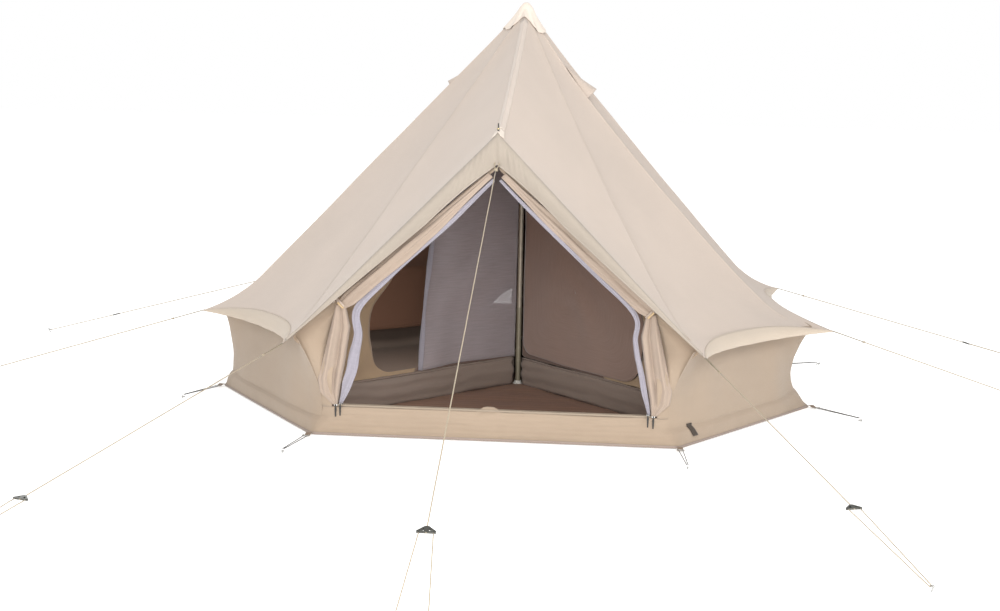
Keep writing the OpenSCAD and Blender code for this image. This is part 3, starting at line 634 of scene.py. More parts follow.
def tape(name, path, normals, width, lift=0.0015, thickness=0.0014):
    """A flat strip sewn along a path on the cloth."""
    path = np.asarray(path, float)
    tangents = np.gradient(path, axis=0)
    sides = np.cross(tangents, normals)
    sides /= np.linalg.norm(sides, axis=1)[:, None]
    centre = path + np.asarray(normals) * lift
    offsets = [-0.5, -0.47, -0.2, 0.2, 0.47, 0.5]
    drops = [-0.0012, 0, 0.0004, 0.0004, 0, -0.0012]
    rows = [centre + sides * width * o + np.asarray(normals) * d for o, d in zip(offsets, drops)]
    return grid(name, rows, thickness=thickness)


TAPE_ROWS = slice(3, -9)
NEIGHBOURS = 9


def beside(j, offset):
    """The roof's surface and normals a little to one side of column j, measured along the cloth."""
    around = [(j + k) % ROOF_ROWS.shape[1] for k in range(-NEIGHBOURS, NEIGHBOURS + 1)]
    points, normals = [], []
    for row, row_normals in zip(ROOF_ROWS[TAPE_ROWS, around], ROOF_NORMALS[TAPE_ROWS, around]):
        along = cumulative(row)
        along -= along[NEIGHBOURS]
        points.append(point_at(row, along, offset))
        normals.append(point_at(row_normals, along, offset))
    normals = np.array(normals)
    return np.array(points), normals / np.linalg.norm(normals, axis=1)[:, None]


def folded_tape(name, j, width, lift):
    """A strip sewn over a seam, bent over it like the cloth below."""
    rows = []
    for o in (-0.5, -0.42, -0.25, -0.08, 0.0, 0.08, 0.25, 0.42, 0.5):
        points, normals = beside(j, o * width)
        rows.append(points + normals * lift)
    return grid(name, rows, thickness=0.0009)


STITCH_PITCH = 0.008
STITCH_LENGTH = STITCH_PITCH * 0.62
STITCH_SIZE = 0.0006
STITCH_FACES = [(0, 1, 4, 3), (1, 2, 5, 4), (2, 0, 3, 5), (0, 2, 1), (3, 4, 5)]


def stitches(name, path, normals):
    """A row of thread stitches along a path, each a small three-sided bar."""
    tangents = np.gradient(path, axis=0)
    sides = np.cross(tangents, normals)
    sides /= np.linalg.norm(sides, axis=1)[:, None]
    lengths = cumulative(path)
    verts, faces = [], []
    for start in np.arange(STITCH_PITCH, lengths[-1] - STITCH_PITCH, STITCH_PITCH):
        k = min(len(path) - 1, np.searchsorted(lengths, start))
        n, s = normals[k] * STITCH_SIZE, sides[k] * STITCH_SIZE
        faces += [tuple(len(verts) + v for v in face) for face in STITCH_FACES]
        for reach in (start, start + STITCH_LENGTH):
            p = point_at(path, lengths, reach)
            verts += [p - s, p + n, p + s]
    mesh = bpy.data.meshes.new(name)
    mesh.from_pydata([tuple(v) for v in verts], [], faces)
    obj = bpy.data.objects.new(name, mesh)
    bpy.context.scene.collection.objects.link(obj)
    return obj


SEAM_TAPE = (0.016, 0.0007)
RIDGE_TAPE = (0.052, 0.0014)
STITCH_OFFSET = 0.0062
STITCH_LIFT = 0.0014


def build_roof():
    place(grid("roof", ROOF_ROWS, closed=True), ROOF, "roof", ["roof_canopy"])
    tapes, threads = [], []
    for j in SIDE_START:
        tapes.append(folded_tape(f"seam_{j}", j, *SEAM_TAPE))
        for s in (-1, 1):
            path, normals = beside(j, s * STITCH_OFFSET)
            threads.append(stitches(f"stitch_{j}_{s}", path + normals * STITCH_LIFT, normals))
    place(join("roof_seams", tapes), ROOF, "roof")
    place(join("roof_stitching", threads), BAND, "roof")
    place(folded_tape("ridge_strip", 0, *RIDGE_TAPE), RIDGE, "roof")


build_roof()


# ---------------------------------------------------------------- eave band

BAND_ROWS = 9
BAND_OUT = 0.62
BAND_DOWN = 0.785


def band_point(i, t, v):
    """The band over side i: v is 0 at the seam and 1 at its free edge."""
    width = lerp(BAND_END, BAND_WIDTH, bow(t))
    hang = side_dir(i) * BAND_OUT - vec(0, 0, BAND_DOWN)
    pleat = math.sin(t * 130 + i) * 0.0022 * v * bow(t) + ripple(seam(i, t), 9, 5) * 0.006 * v
    out = 0.0010 + (0.003 + pleat) * smooth(v * 4) + 0.012 * math.sin(math.pi * v) * bow(t)
    return seam(i, t) + hang * width * v + side_dir(i) * out


def build_band():
    panels = []
    for i in SIDES:
        shares = [0.003 + 0.994 * t for t in side_spread(40)] + [0.997]
        depths = [r / (BAND_ROWS - 1) for r in range(BAND_ROWS)]
        panels.append(grid(f"band_{i}", [[band_point(i, t, v) for t in shares] for v in depths]))
    place(join("eave_band_cloth", panels), BAND, ROOT, ["eave_band"])


build_band()


# ---------------------------------------------------------------- side walls

CORNER_WAIST = [0.062, 0.088, 0.070, 0.060, 0.060, 0.070, 0.040, 0.062]
SIDE_WAIST = [0.004, 0.050, 0.015, 0.004, 0.015, 0.015, 0.004]
WALL_ROWS = 72
FILLET = 0.12
SKIRT_Z = 0.082
WALL_REACH = 0.072
DOOR_REACH = 0.060


def wall_top(i, t):
    """The wall's top over side i, tucked under the roof's edge."""
    s, k = seam(i, t), 1 - bow(t)
    by_door = (i == 0 and t < 0.5) or (i == 6 and t > 0.5)
    reach, rise = (DOOR_REACH, 0.024) if by_door else (WALL_REACH, 0.030)
    return s - unit(flat(s)) * (0.008 + reach * k) + vec(0, 0, rise * k - 0.014)


def pull_direction(n):
    """Which way the cloth is drawn in at a corner: sideways beside the door, else towards the pole."""
    if n in (0, 7):
        return unit(vec(math.copysign(1, GROUND[n][0]), -0.1, 0))
    return unit(GROUND[n])


def wall_point(i, t, v):
    """A point of the wall over side i: v is 0 on the ground and 1 under the eave."""
    foot, top = lerp(GROUND[i], GROUND[i + 1], t), wall_top(i, t)
    near = smooth((abs(2 * t - 1) - 0.45) / 0.55)
    n = i if t < 0.5 else i + 1
    waist = lerp(SIDE_WAIST[i], CORNER_WAIST[n], near)
    dip = math.sin(math.pi * v**0.8) ** 0.9
    return lerp(foot, top, v) - pull_direction(n) * waist * dip


def fillet_size(v):
    """How far from a corner its rounding starts: less at the ground."""
    return lerp(0.03, FILLET, smooth(v / 0.25))


def fillet(i, t, v):
    """Rounds the wall's corners, more so above the ground."""
    size = fillet_size(v)
    at_end = t > 0.5
    edge = np.linalg.norm(GROUND[i + 1] - GROUND[i])
    d = (1 - t if at_end else t) * edge
    n = i + 1 if at_end else i
    if d > size:
        return vec(0, 0, 0)
    here = unit(GROUND[i] - GROUND[i + 1]) if at_end else unit(GROUND[i + 1] - GROUND[i])
    near = (GROUND[(n + 1) % 8] if at_end else GROUND[n - 1]) - GROUND[n]
    tau = (1 - d / size) / 2
    return here * size * (1 - tau) ** 2 + unit(near) * size * tau**2 - here * d


def wall_relief(p, v):
    """How far the cloth stands out: broad drape, small creases, and the seam above the skirt."""
    drape = ripple(p * vec(1, 1, 0.8), 3.0, 2.0) * 0.009 + ripple(p * vec(1, 1, 2.2), 9.0, 7.0) * 0.0022
    seam_line = -0.0045 * hump(p[2], SKIRT_Z, 0.004)
    skirt = 0.007 * smooth((SKIRT_Z - p[2]) / 0.02)
    return drape * math.sin(math.pi * min(1, v)) + (seam_line + skirt) * smooth(v * 8)


def wall_surface(i, t, v):
    p = wall_point(i, t, v) + fillet(i, t, v)
    corner = unit(GROUND[i] if t < 0.5 else GROUND[i + 1])
    out = unit(lerp(side_dir(i), corner, smooth((abs(2 * t - 1) - 0.7) / 0.3)))
    return p + out * wall_relief(p, v)


WINDOW_HALF = 0.300
WINDOW_RISE = 0.165
WINDOW_Z = 0.218
WINDOW_R = (WINDOW_HALF**2 + WINDOW_RISE**2) / (2 * WINDOW_RISE)


def in_half_moon(x, z, shrink):
    """True inside the rear window's outline, made smaller by shrink."""
    up = z - WINDOW_Z
    return up > shrink and math.hypot(x, up - (WINDOW_RISE - WINDOW_R)) < WINDOW_R - shrink


REAR_SIDE = 3
WALL_COLUMNS = 44
WINDOW_COLUMNS = 90
HEM_LIFT = 0.0022
HEM_HEIGHTS = (0.002, 0.012, 0.022)


def wall_panel(i):
    rear = i == REAR_SIDE
    shares = side_spread(WINDOW_COLUMNS if rear else WALL_COLUMNS) + [1.0]
    rows = [[wall_surface(i, t, v) for t in shares] for v in np.linspace(0, 1, WALL_ROWS)]
    window = (lambda p: in_half_moon(p[0], p[2], 0.010)) if rear else None
    return grid(f"wall_{i}", rows, skip=window)


def wall_hem(i):
    shares = side_spread(WALL_COLUMNS) + [1.0]
    out = side_dir(i) * HEM_LIFT
    return grid(f"wall_hem_{i}", [[wall_surface(i, t, v) + out for t in shares] for v in HEM_HEIGHTS])


def build_walls():
    place(join("walls", [wall_panel(i) for i in SIDES]), WALL, ROOT, ["side_walls"])
    place(join("wall_hems", [wall_hem(i) for i in SIDES]), TRAY, ROOT)


build_walls()

# ---------------------------------------------------------------- door side: hood, hem, side cloth and sill

HOOD_LOW = vec(0, door_y(1.236, 0.014), 1.236)
WALL_END_Z = wall_top(0, 0)[2]
TIE = vec(0.690, 0, 0.592)
ROLL_TOP = vec(0.028, 0, 1.190)


def on_door(x, z, front=0.0):
    """A point of the door's plane, moved forward by front."""
    return vec(x, door_y(z, front), z)


def hem_point(t):
    """The roof's front hem, from over the doorway (0) to the right-hand eave tip (1)."""
    return lerp(HOOD_LOW, TIPS[0], t) + vec(0, -0.003, 0.012 * math.sin(math.pi * min(1, 3 * t)))


def roof_edge(row, m):
    """The roof at a fractional front column: m is positive to the right, negative to the left."""
    low = math.floor(m)
    return lerp(ROOF_ROWS[row, low], ROOF_ROWS[row, min(low + 1, FRONT_COLUMNS)], m - low)


def hood_point(m, v):
    """The cloth folded under the roof's front edge: v is 0 at the edge and 1 at the hem."""
    t = abs(m) / FRONT_COLUMNS
    start, before = roof_edge(-1, m), roof_edge(-4, m)
    hem = hem_point(t) if m >= 0 else flip(hem_point(t))
    reach = np.linalg.norm(hem - start)
    turn = start + unit(start - before) * min(0.040, 0.5 * reach) + (hem - start) * 0.12
    p = (1 - v) ** 2 * start + 2 * v * (1 - v) * turn + v**2 * hem
    spread = p[0] * (1.25 - 0.25 * v)
    gather = math.sin(spread * 230) * 0.8 + ripple(vec(spread, 0, 0.3), 60, 4) * 1.4
    p[1] -= 0.0042 * gather * (1 - smooth((t - 0.05) / 0.22)) * math.sin(math.pi * min(1, v * 0.9 + 0.06))
    return p


def build_hood():
    half = [*[k * 0.2 for k in range(60)], *range(12, FRONT_COLUMNS), FRONT_COLUMNS - 0.3]
    columns = [-m for m in reversed(half[1:])] + half
    rows = [[hood_point(m, v) for m in columns] for v in np.linspace(0, 1, 18)]
    hood = grid("hood", rows)
    # The hood and its hem tape carry painted shade: the roof's cotton made darker as if shaded by the
    # roof's edge.
    place(hood, HOOD_PAINTED_SHADE, "roof")
    shares = np.linspace(0, 0.985, 60)
    path = [flip(hem_point(t)) for t in shares[:0:-1]] + [hem_point(t) for t in shares]
    normals = np.array([vec(0, -1, 0)] * len(path))
    edge = tape("front_hem", [q + vec(0, 0, 0.004) for q in path], normals, 0.009, lift=0.002)
    place(edge, HOOD_PAINTED_SHADE, "roof")


def front_point(d, v):
    """The door side's cloth, d metres in from the right-hand corner, continuing the wall round it."""
    corner, inwards, along = wall_point(0, 0, v), vec(-1, 0, 0), unit(GROUND[1] - GROUND[0])
    p, size = corner + inwards * d, fillet_size(v)
    if d < size:
        tau = (1 + d / size) / 2
        p = corner + along * size * (1 - tau) ** 2 + inwards * size * tau**2
    relief = wall_relief(p, v) * (1 - smooth(d / 0.14))
    p[1] = lerp(p[1], door_y(p[2]), smooth((d - 0.04) / 0.14))
    return p + unit(GROUND[0]) * relief


def doorway_x(z):
    """Half the doorway's width at height z."""
    if z > TIE[2]:
        return lerp(ROLL_TOP[0], TIE[0], (ROLL_TOP[2] - z) / (ROLL_TOP[2] - TIE[2]))
    return lerp(0.725, TIE[0], smooth((z - SILL_TOP) / (TIE[2] - SILL_TOP)))


def side_cloth_point(z, w):
    """Cloth between the wall's corner or the roof's hem (w = 0) and the doorway's edge (w = 1)."""
    inner_x = max(0.004, doorway_x(z) + 0.004)
    v = z / WALL_END_Z
    share = (HOOD_LOW[2] - z) / (HOOD_LOW[2] - TIPS[0][2])
    hem_x = share * TIPS[0][0] + 0.004
    high = smooth((z - 0.40) / 0.05)
    corner_x = wall_point(0, 0, min(v, 1))[0]
    outer_x = lerp(corner_x, max(hem_x, inner_x + 0.002), high)
    x = lerp(outer_x, inner_x, w)
    low = front_point(max(0, corner_x - x), min(v, 1.0))
    low[2] = z
    p = lerp(low, on_door(x, z, -0.008), smooth((z - 0.26) / 0.30))
    away = math.hypot(x - TIE[0], z - TIE[2])
    turn = math.atan2(x - TIE[0], TIE[2] - z)
    pull = math.exp(-away / 0.13) * smooth(w * 4) * smooth(away / 0.05)
    p[1] -= 0.006 * math.sin(turn * 11) * pull
    p[1] -= 0.004 * ripple(p * vec(1, 0, 0.5), 8, 6) * smooth(w * 3)
    beside_wing = hump(x, between(WING_OUTER, z) + 0.002, 0.006)
    p[1] += 0.020 * beside_wing * smooth((z - 0.26) / 0.08) * smooth((0.56 - z) / 0.1)
    return p


def build_side_cloth():
    heights = np.linspace(SILL_TOP - 0.006, 1.222, 70)
    shares = [0.5 - 0.5 * math.cos(math.pi * k / 40) for k in range(41)]
    panels = []
    for mirror in (False, True):
        side = -1 if mirror else 1
        rows = [[mirrored(side_cloth_point(z, w), side) for w in shares] for z in heights]
        panels.append(grid(f"side_cloth_{mirror}", rows))
    place(join("door_side_cloth", panels), WALL, "roof", ["door_gable"])


def sill_point(x, s):
    """The sill from the ground (s = 0) over its top edge (s = 1) and down inside."""
    z = SILL_TOP * min(1, s)
    v = z / WALL_END_Z
    corner_x = wall_point(0, 0, v)[0]
    half = abs(x) * corner_x / GROUND[0][0]
    p = front_point(max(0, corner_x - half), v)
    inside = smooth((GROUND[0][0] - abs(x)) / 0.12)
    p[0] *= math.copysign(1, x)
    if s < 1:
        folds = math.sin(z * 260 + ripple(vec(x, 0, 0), 3, 8) * 3.0) * 0.0022
        folds += ripple(vec(x * 2, 0, z * 6), 5, 2) * 0.005
        p[1] -= (folds + 0.006 * math.sin(math.pi * s)) * inside * smooth(s * 5)
    lump = 0.020 * hump(x, -0.020, 0.045, 4)
    sag = 0.004 * ripple(vec(x, 0, 0), 4, 1)
    p[2] += (lump + sag) * inside * smooth((s - 0.6) / 0.4)
    p[1] += 0.6 * lump * inside * smooth((s - 0.8) / 0.2)
    if s > 1:
        p[1] += (s - 1) * 0.05
        p[2] -= (s - 1) ** 2 * 0.25
    return p


def build_sill():
    xs = [GROUND[0][0] * math.sin(a) for a in np.linspace(-math.pi / 2, math.pi / 2, 161)]
    shares = list(np.linspace(0, 1, 22)) + [1.08, 1.2, 1.35]
    sill = grid("sill", [[sill_point(x, s) for x in xs] for s in shares])
    place(sill, WALL, ROOT, ["door_sill"])
    hem_rows = [[sill_point(x, s) - vec(0, HEM_LIFT, 0) for x in xs] for s in (0.01, 0.05, 0.09)]
    place(grid("sill_hem", hem_rows), TRAY, ROOT)


# ---------------------------------------------------------------- rolled doors


def roll_section(s, a):
    """Cross-section of the rolled canvas: slim at the top, thick in the middle, gripped by the strap."""
    size = lerp(0.012, 0.029, smooth(s / 0.45)) * (1 - 0.30 * hump(s, 0.985, 0.035))
    folds = 1 + 0.09 * math.sin(4 * a + 5 * s) + 0.06 * math.sin(7 * a - 9 * s)
    folds += 0.05 * math.sin(3 * a + 21 * s)
    lip = 0.35 * hump(a, 2.5, 0.30) - 0.22 * hump(a, 2.0, 0.22)
    lip -= 0.25 * hump(a, 0.8, 0.20)
    r = size * (folds + lip)
    return r * 1.08 * math.cos(a), r * 0.80 * math.sin(a)


WING_INNER = [(0.592, 0.662), (0.50, 0.643), (0.33, 0.668), (0.22, 0.690), (0.146, 0.700)]
WING_OUTER = [(0.592, 0.706), (0.52, 0.722), (0.33, 0.768), (0.26, 0.786), (0.20, 0.777), (0.146, 0.722)]


def between(table, z):
    """The value at height z of a list of (height, value), highest first."""
    heights = [a for a, _ in table][::-1]
    return float(np.interp(z, heights, [b for _, b in table][::-1]))


WING_TOP = 0.600
WING_FOOT = 0.146


def wing_point(v, c):
    """The loose cloth of a tied door below its strap: v runs down, c away from the doorway."""
    z = lerp(WING_TOP, WING_FOOT, v)
    x = lerp(between(WING_INNER, z), between(WING_OUTER, z), c)
    full = math.sin(math.pi * min(1, v * 0.92 + 0.06)) ** 0.7
    front = 0.016 + 0.024 * full * c
    front += 0.011 * full * math.sin(math.tau * 1.6 * c + 1.2 * v)
    front += 0.003 * full * math.sin(math.tau * 3.7 * c + 5.0 * v)
    front -= 0.020 * full * smooth((0.10 - c) / 0.10)
    front -= 0.010 * smooth((c - 0.95) / 0.05)
    front += ripple(vec(x, 0, z * 0.6), 26, 3) * 0.004 * full
    return on_door(x, z, front)


def build_door(side):
    mirror = -1 if side == "left" else 1
    path = []
    for s in np.linspace(0, 1, 70):
        x, _, z = lerp(ROLL_TOP, TIE, s)
        sag = vec(0, 0, 0.007 * math.sin(math.pi * s))
        path.append(mirrored(on_door(x, z, 0.004), mirror) - sag)
    roll = loft(f"roll_{side}", path, roll_section, 44, up=(0, -1, 0))
    shares = np.linspace(0, 1, 44)
    rows = [[mirrored(wing_point(v, c), mirror) for c in shares] for v in np.linspace(0, 1, 60)]
    wing = grid(f"wing_{side}", rows, thickness=0.003)
    place(join(f"canvas_door_{side}", [roll, wing]), DOOR, "roof", [f"door_canvas_{side}"])


# (x, height, half width) down the edge of each net door.
NET_SAMPLES = 110
NET_PATH = {
    "right": [(0.014, 1.168, 0.006), (0.20, 0.985, 0.009), (0.45, 0.755, 0.010), (0.614, 0.594, 0.011),
              (0.618, 0.48, 0.011), (0.642, 0.36, 0.013), (0.666, 0.25, 0.013), (0.688, 0.150, 0.006)],
    "left": [(0.014, 1.168, 0.007), (0.20, 0.982, 0.012), (0.45, 0.750, 0.013), (0.604, 0.590, 0.017),
             (0.608, 0.46, 0.019), (0.630, 0.34, 0.026), (0.655, 0.24, 0.023), (0.686, 0.150, 0.007)],
}


def build_net(side):
    """The gathered edge of the net door: a pleated ribbon under the roll, then hanging to its slider."""
    mirror = -1 if side == "left" else 1
    samples = NET_PATH[side]
    path = curve_through([mirrored(on_door(x, z, 0.010), mirror) for x, z, _ in samples], NET_SAMPLES)
    spots = np.linspace(0, len(samples) - 1, NET_SAMPLES)
    widths = np.interp(spots, range(len(samples)), [w for _, _, w in samples])

    def section(s, a):
        width = widths[min(NET_SAMPLES - 1, int(s * (NET_SAMPLES - 0.01)))]
        half = width * (1 + 0.08 * math.sin(31 * s + a))
        pleat = 0.0022 * math.sin(5 * a + 14 * s) + 0.0018 * math.sin(26 * s + 2 * a)
        return half * math.cos(a), (0.0045 + 0.10 * half) * math.sin(a) + pleat

    net = loft(f"net_edge_{side}", path, section, 36, up=(0, -1, 0))
    place(net, NET_HEM, "roof", [f"door_net_{side}"])


STRAP_HALF = 0.008
STRAP_RADIUS = 0.0265


def build_straps():
    pieces = []
    roll_top, tie = on_door(ROLL_TOP[0], ROLL_TOP[2]), on_door(TIE[0], TIE[2])
    along = unit(roll_top - tie)
    middle = tie + along * 0.011
    across = unit(np.cross(along, vec(0, -1, 0)))

    def strap_point(w, a):
        r = STRAP_RADIUS + 0.0008 * math.sin(3 * a) + 0.0006 * math.cos(w * 300)
        outwards = across * math.cos(a) + vec(0, -0.92, 0) * math.sin(a)
        return middle + along * (w + 0.002 * math.sin(a)) + outwards * r

    angles = np.linspace(0, math.tau, 49)[:-1]
    strap = [[strap_point(w, a) for a in angles] for w in np.linspace(-STRAP_HALF, STRAP_HALF, 7)]
    stud = line(middle - vec(0, 0.024, 0), middle - vec(0, 0.039, 0), 6)
    tail = curve_through([middle + across * 0.024, middle + across * 0.040 - vec(0, 0.012, 0.006),
                          middle + across * 0.050 - vec(0, 0.012, 0.030)], 16)
    for mirror in (1, -1):
        rows = [[mirrored(q, mirror) for q in ring] for ring in strap]
        pieces.append(grid(f"strap_{mirror}", rows, closed=True, thickness=0.002))
        pieces.append(cord(f"stud_{mirror}", [mirrored(q, mirror) for q in stud], 0.0015))
        rows = [[mirrored(q + along * w, mirror) for w in (-0.006, -0.002, 0.002, 0.006)] for q in tail]
        pieces.append(grid(f"tail_{mirror}", rows, thickness=0.0016))
    place(join("tie_backs", pieces), ROOF, ROOT, ["tie_back_straps"])


build_hood()
build_side_cloth()
build_sill()
for door_side in ("left", "right"):
    build_door(door_side)
    build_net(door_side)
build_straps()

# ---------------------------------------------------------------- cap, patch and vents

CAP_REACH = 0.132
CAP_TOP = 2.0


def roof_at(j, reach, lift):
    """A point on the roof's column j, reach metres down from the apex ring and lifted off the cloth."""
    down = cumulative(ROOF_ROWS[:, j])
    return point_at(ROOF_ROWS[:, j], down, reach) + point_at(ROOF_NORMALS[:, j], down, reach) * lift


# (distance from the axis, depth below the top) of the cap's rounded tip.
CAP_TIP = ((0.0005, 0.0015), (0.010, 0.003), (0.017, 0.008), (0.024, 0.016), (0.032, 0.025))


def cap_point(j, s):
    """The cap's skirt over roof column j: s is 0 at its tip and 1 at its wavy edge, raised at the front."""
    bearing = math.atan2(ROOF_ROWS[-1, j, 0], -ROOF_ROWS[-1, j, 1])
    raised = 0.056 * hump(math.degrees(bearing), 0, 24, 4)
    wave = 0.004 * math.sin(bearing * 7 + 0.6) + 0.0025 * math.sin(bearing * 17)
    flare = 0.0045 + 0.002 * s + 0.013 * (1 - s) ** 2 + 0.0012 * s * math.sin(bearing * 11 + 2)
    return roof_at(j, (CAP_REACH - raised + wave) * s, flare)


def build_cap():
    columns = range(ROOF_ROWS.shape[1])
    rows = [[unit(flat(ROOF_ROWS[-1, j])) * r + vec(0, 0, CAP_TOP - depth) for j in columns]
            for r, depth in CAP_TIP]
    rows += [[cap_point(j, s) for j in columns] for s in np.linspace(0.06, 1, 26)]
    cap = grid("cap", rows, closed=True, thickness=0.0024)
    place(cap, CAP, "roof", ["apex_cap"])


def build_patch():
    """A patch sewn over the ridge's low end."""
    rows = []
    for r in np.linspace(0, 1, 10):
        half = lerp(0.8, 1.0, r)
        row = []
        for m in np.linspace(-0.75 * half, 0.75 * half, 25):
            edge, back = roof_edge(-1, m), roof_edge(-9, m)
            row.append(lerp(back, edge, r) + vec(0, 0, 0.0045 + 0.0015 * math.cos(m * 9)))
        rows.append(row)
    place(grid("patch", rows), CAP, "roof", ["peak_patch"])


VENT_SIDES = (1, 5)
VENT_HALF = 0.085
VENT_RISE = 0.058
VENT_TOP = 0.335
VENT_FOOT = 0.530


def vent_rows(j, kind):
    """The hood or the net of the vent on roof column j."""
    top, foot = roof_at(j, VENT_TOP, 0.0), roof_at(j, VENT_FOOT, 0.0)
    n = ROOF_NORMALS[20, j]
    across = unit(np.cross(n, foot - top))
    rows = []
    for s in np.linspace(0.02, 1, 16):
        row = []
        for c in np.linspace(-1, 1, 25):
            base = lerp(top, foot, s) + across * c * VENT_HALF * s
            if kind == "hood":
                rise = 0.004 + VENT_RISE * s**1.25 * (1 - abs(c) ** 2.2)
                rise += 0.002 * math.sin(c * 9) * s
            else:
                rise = 0.003
                base = lerp(top, foot, 0.12 + 0.84 * s) + across * c * VENT_HALF * 0.84 * s
            row.append(base + n * rise)
        rows.append(row)
    return rows


def build_vents():
    columns = [SIDE_START[i] + SIDE_COLUMNS // 2 for i in VENT_SIDES]
    hoods = [grid(f"vent_{j}", vent_rows(j, "hood"), thickness=0.0022) for j in columns]
    place(join("vent_covers", hoods), ROOF, "roof", ["vent_hoods"])
    nets = [grid(f"vent_net_{j}", vent_rows(j, "net"), thickness=0.0008) for j in columns]
    place(join("vent_netting", nets), NET, "roof", ["vent_nets"])


build_cap()
build_patch()
build_vents()

# ---------------------------------------------------------------- floor


def outline_points(outline, per_side):
    """Points spread along every side of a closed outline."""
    points = []
    for k, p in enumerate(outline):
        after = outline[(k + 1) % len(outline)]
        points += [lerp(p, after, s / per_side) for s in range(per_side)]
    return points


def build_floor():
    edge = outline_points([g * FLOOR_SCALE for g in GROUND], 16)
    rows = []
    for s in np.linspace(0.004, 1, 44):
        row = []
        for q in edge:
            p = q * s
            wave = ripple(p * vec(0.6, 2.6, 1), 3.0, 5) * 0.006 + ripple(p * vec(1, 3, 1), 9.0, 2) * 0.003
            row.append(p + vec(0, 0, 0.004 + max(-0.003, wave) * smooth((1 - s) / 0.08)))
        rows.append(row)
    place(grid("floor_cloth", rows, closed=True), FLOOR, ROOT, ["groundsheet"])


build_floor()

# ---------------------------------------------------------------- inner cabins

CABIN_AZ = math.radians(38)
FRONT_LIFT = 0.150
TRAY_TOP = 0.148
TRAY_START = 0.052
FRONT_R = (0.036, 1.440)
FRONT_END = FRONT_R[1] + 0.03
# Discs (metres from the pole, height, radius) whose hull is a cabin's doorway.
DOORWAY = ((0.935, 0.420, 0.140), (0.930, 0.300, 0.130), (0.130, 0.250, 0.070), (0.130, 1.330, 0.070))
FRONT_CENTRE = (0.52, 0.55)


def on_front(side, r, z, out=0.0):
    """A point of a cabin's front wall: r metres from the pole, out towards the porch."""
    d = vec(math.sin(CABIN_AZ), -math.cos(CABIN_AZ), 0)
    n = vec(-math.cos(CABIN_AZ), -math.sin(CABIN_AZ), 0)
    return mirrored(d * r + n * out + vec(0, 0, z), side)


def from_centre(angle, reach):
    """(r, z) on a cabin's front, one direction and distance from its centre."""
    return FRONT_CENTRE[0] + math.cos(angle) * reach, FRONT_CENTRE[1] + math.sin(angle) * reach


def front_top(r):
    """The top of a cabin's front, r metres from the pole."""
    return min(1.60, 1.80 - 0.90 * r - 0.10 * math.sin(math.pi * min(1, r / 1.4)))


def doorway_reach(angle):
    """Distance from the front's centre to the doorway's edge, in one direction."""
    u = np.array([math.cos(angle), math.sin(angle)])
    reaches = []
    for turn in np.linspace(0, math.tau, 181):
        n = np.array([math.cos(turn), math.sin(turn)])
        if n @ u > 0.02:
            support = max((np.array(c[:2]) - FRONT_CENTRE) @ n + c[2] for c in DOORWAY)
            reaches.append(support / (n @ u))
    if u[1] < -0.02:
        reaches.append((FRONT_LIFT + 0.016 - FRONT_CENTRE[1]) / u[1])
    return min(reaches)


REACH_STEP = 0.004


def outer_reach(angle):
    """Distance from the front's centre to its outer edge, in one direction."""
    reach = 0.0
    while True:
        r, z = from_centre(angle, reach + REACH_STEP)
        if r < FRONT_R[0] or r > FRONT_R[1] or z < FRONT_LIFT or z > front_top(r):
            return reach
        reach += REACH_STEP


def front_relief(side, r, z):
    """Soft folds of the front wall's cloth."""
    pull = math.sin(z * 38 + r * 9 + ripple(vec(r, z, side), 3, 2) * 2.5)
    return 0.004 * pull * smooth((r - 0.95) / 0.1) + 0.006 * ripple(vec(r, z, side * 2), 4, 5)


def front_sheet(side, name, share):
    """The front wall round its doorway. share keeps one part of it."""
    angles = np.linspace(0, math.tau, 241)[:-1]
    rows = []
    reaches = [(doorway_reach(a), outer_reach(a)) for a in angles]
    for s in np.linspace(0, 1, 20):
        row = []
        for a, (near, far) in zip(angles, reaches):
            r, z = from_centre(a, lerp(near, max(far, near + 0.002), s))
            row.append(on_front(side, r, z, front_relief(side, r, z)))
        rows.append(row)
    first = next(k for k, a in enumerate(angles) if a > math.radians(300))
    last = next(k for k, a in enumerate(angles) if a > math.radians(30))
    strip = list(range(first, len(angles))) + list(range(last + 1))
    columns = strip if share == "outer" else list(range(last, first + 1))
    return grid(name, np.array(rows)[:, columns])


def net_wrinkle(r, z, seed):
    """Diagonal pulls and small creases of hanging netting."""
    pull = math.sin((z * 0.8 + r * 0.55) * 30 + ripple(vec(r, z, seed), 2.5, seed) * 4)
    pull *= max(0, ripple(vec(r, z, seed), 2, 7 + seed))
    return 0.007 * pull + 0.008 * ripple(vec(r, z * 0.5, seed), 5, seed)


def build_cabin_net_right():
    angles = np.linspace(0, math.tau, 161)[:-1]
    reaches = [doorway_reach(a) + 0.006 for a in angles]
    rows = []
    for s in np.linspace(0.002, 1, 46):
        row = []
        for a, reach in zip(angles, reaches):
            r, z = from_centre(a, reach * s)
            row.append(on_front(1, r, z, 0.010 + net_wrinkle(r, z, 1.0) * (1 - s**6)))
        rows.append(row)
    net = grid("cabin_net_right", rows, closed=True, thickness=0.0006)
    place(net, NET_CLOSED, "roof", ["cabin_door_right"])


# (height, metres from the pole) down the open net door's free edge.
FREE_EDGE = [(1.46, 0.30), (1.19, 0.560), (0.826, 0.660), (0.40, 0.712), (0.157, 0.742)]
OPEN_NET_Z = (0.157, 1.42)


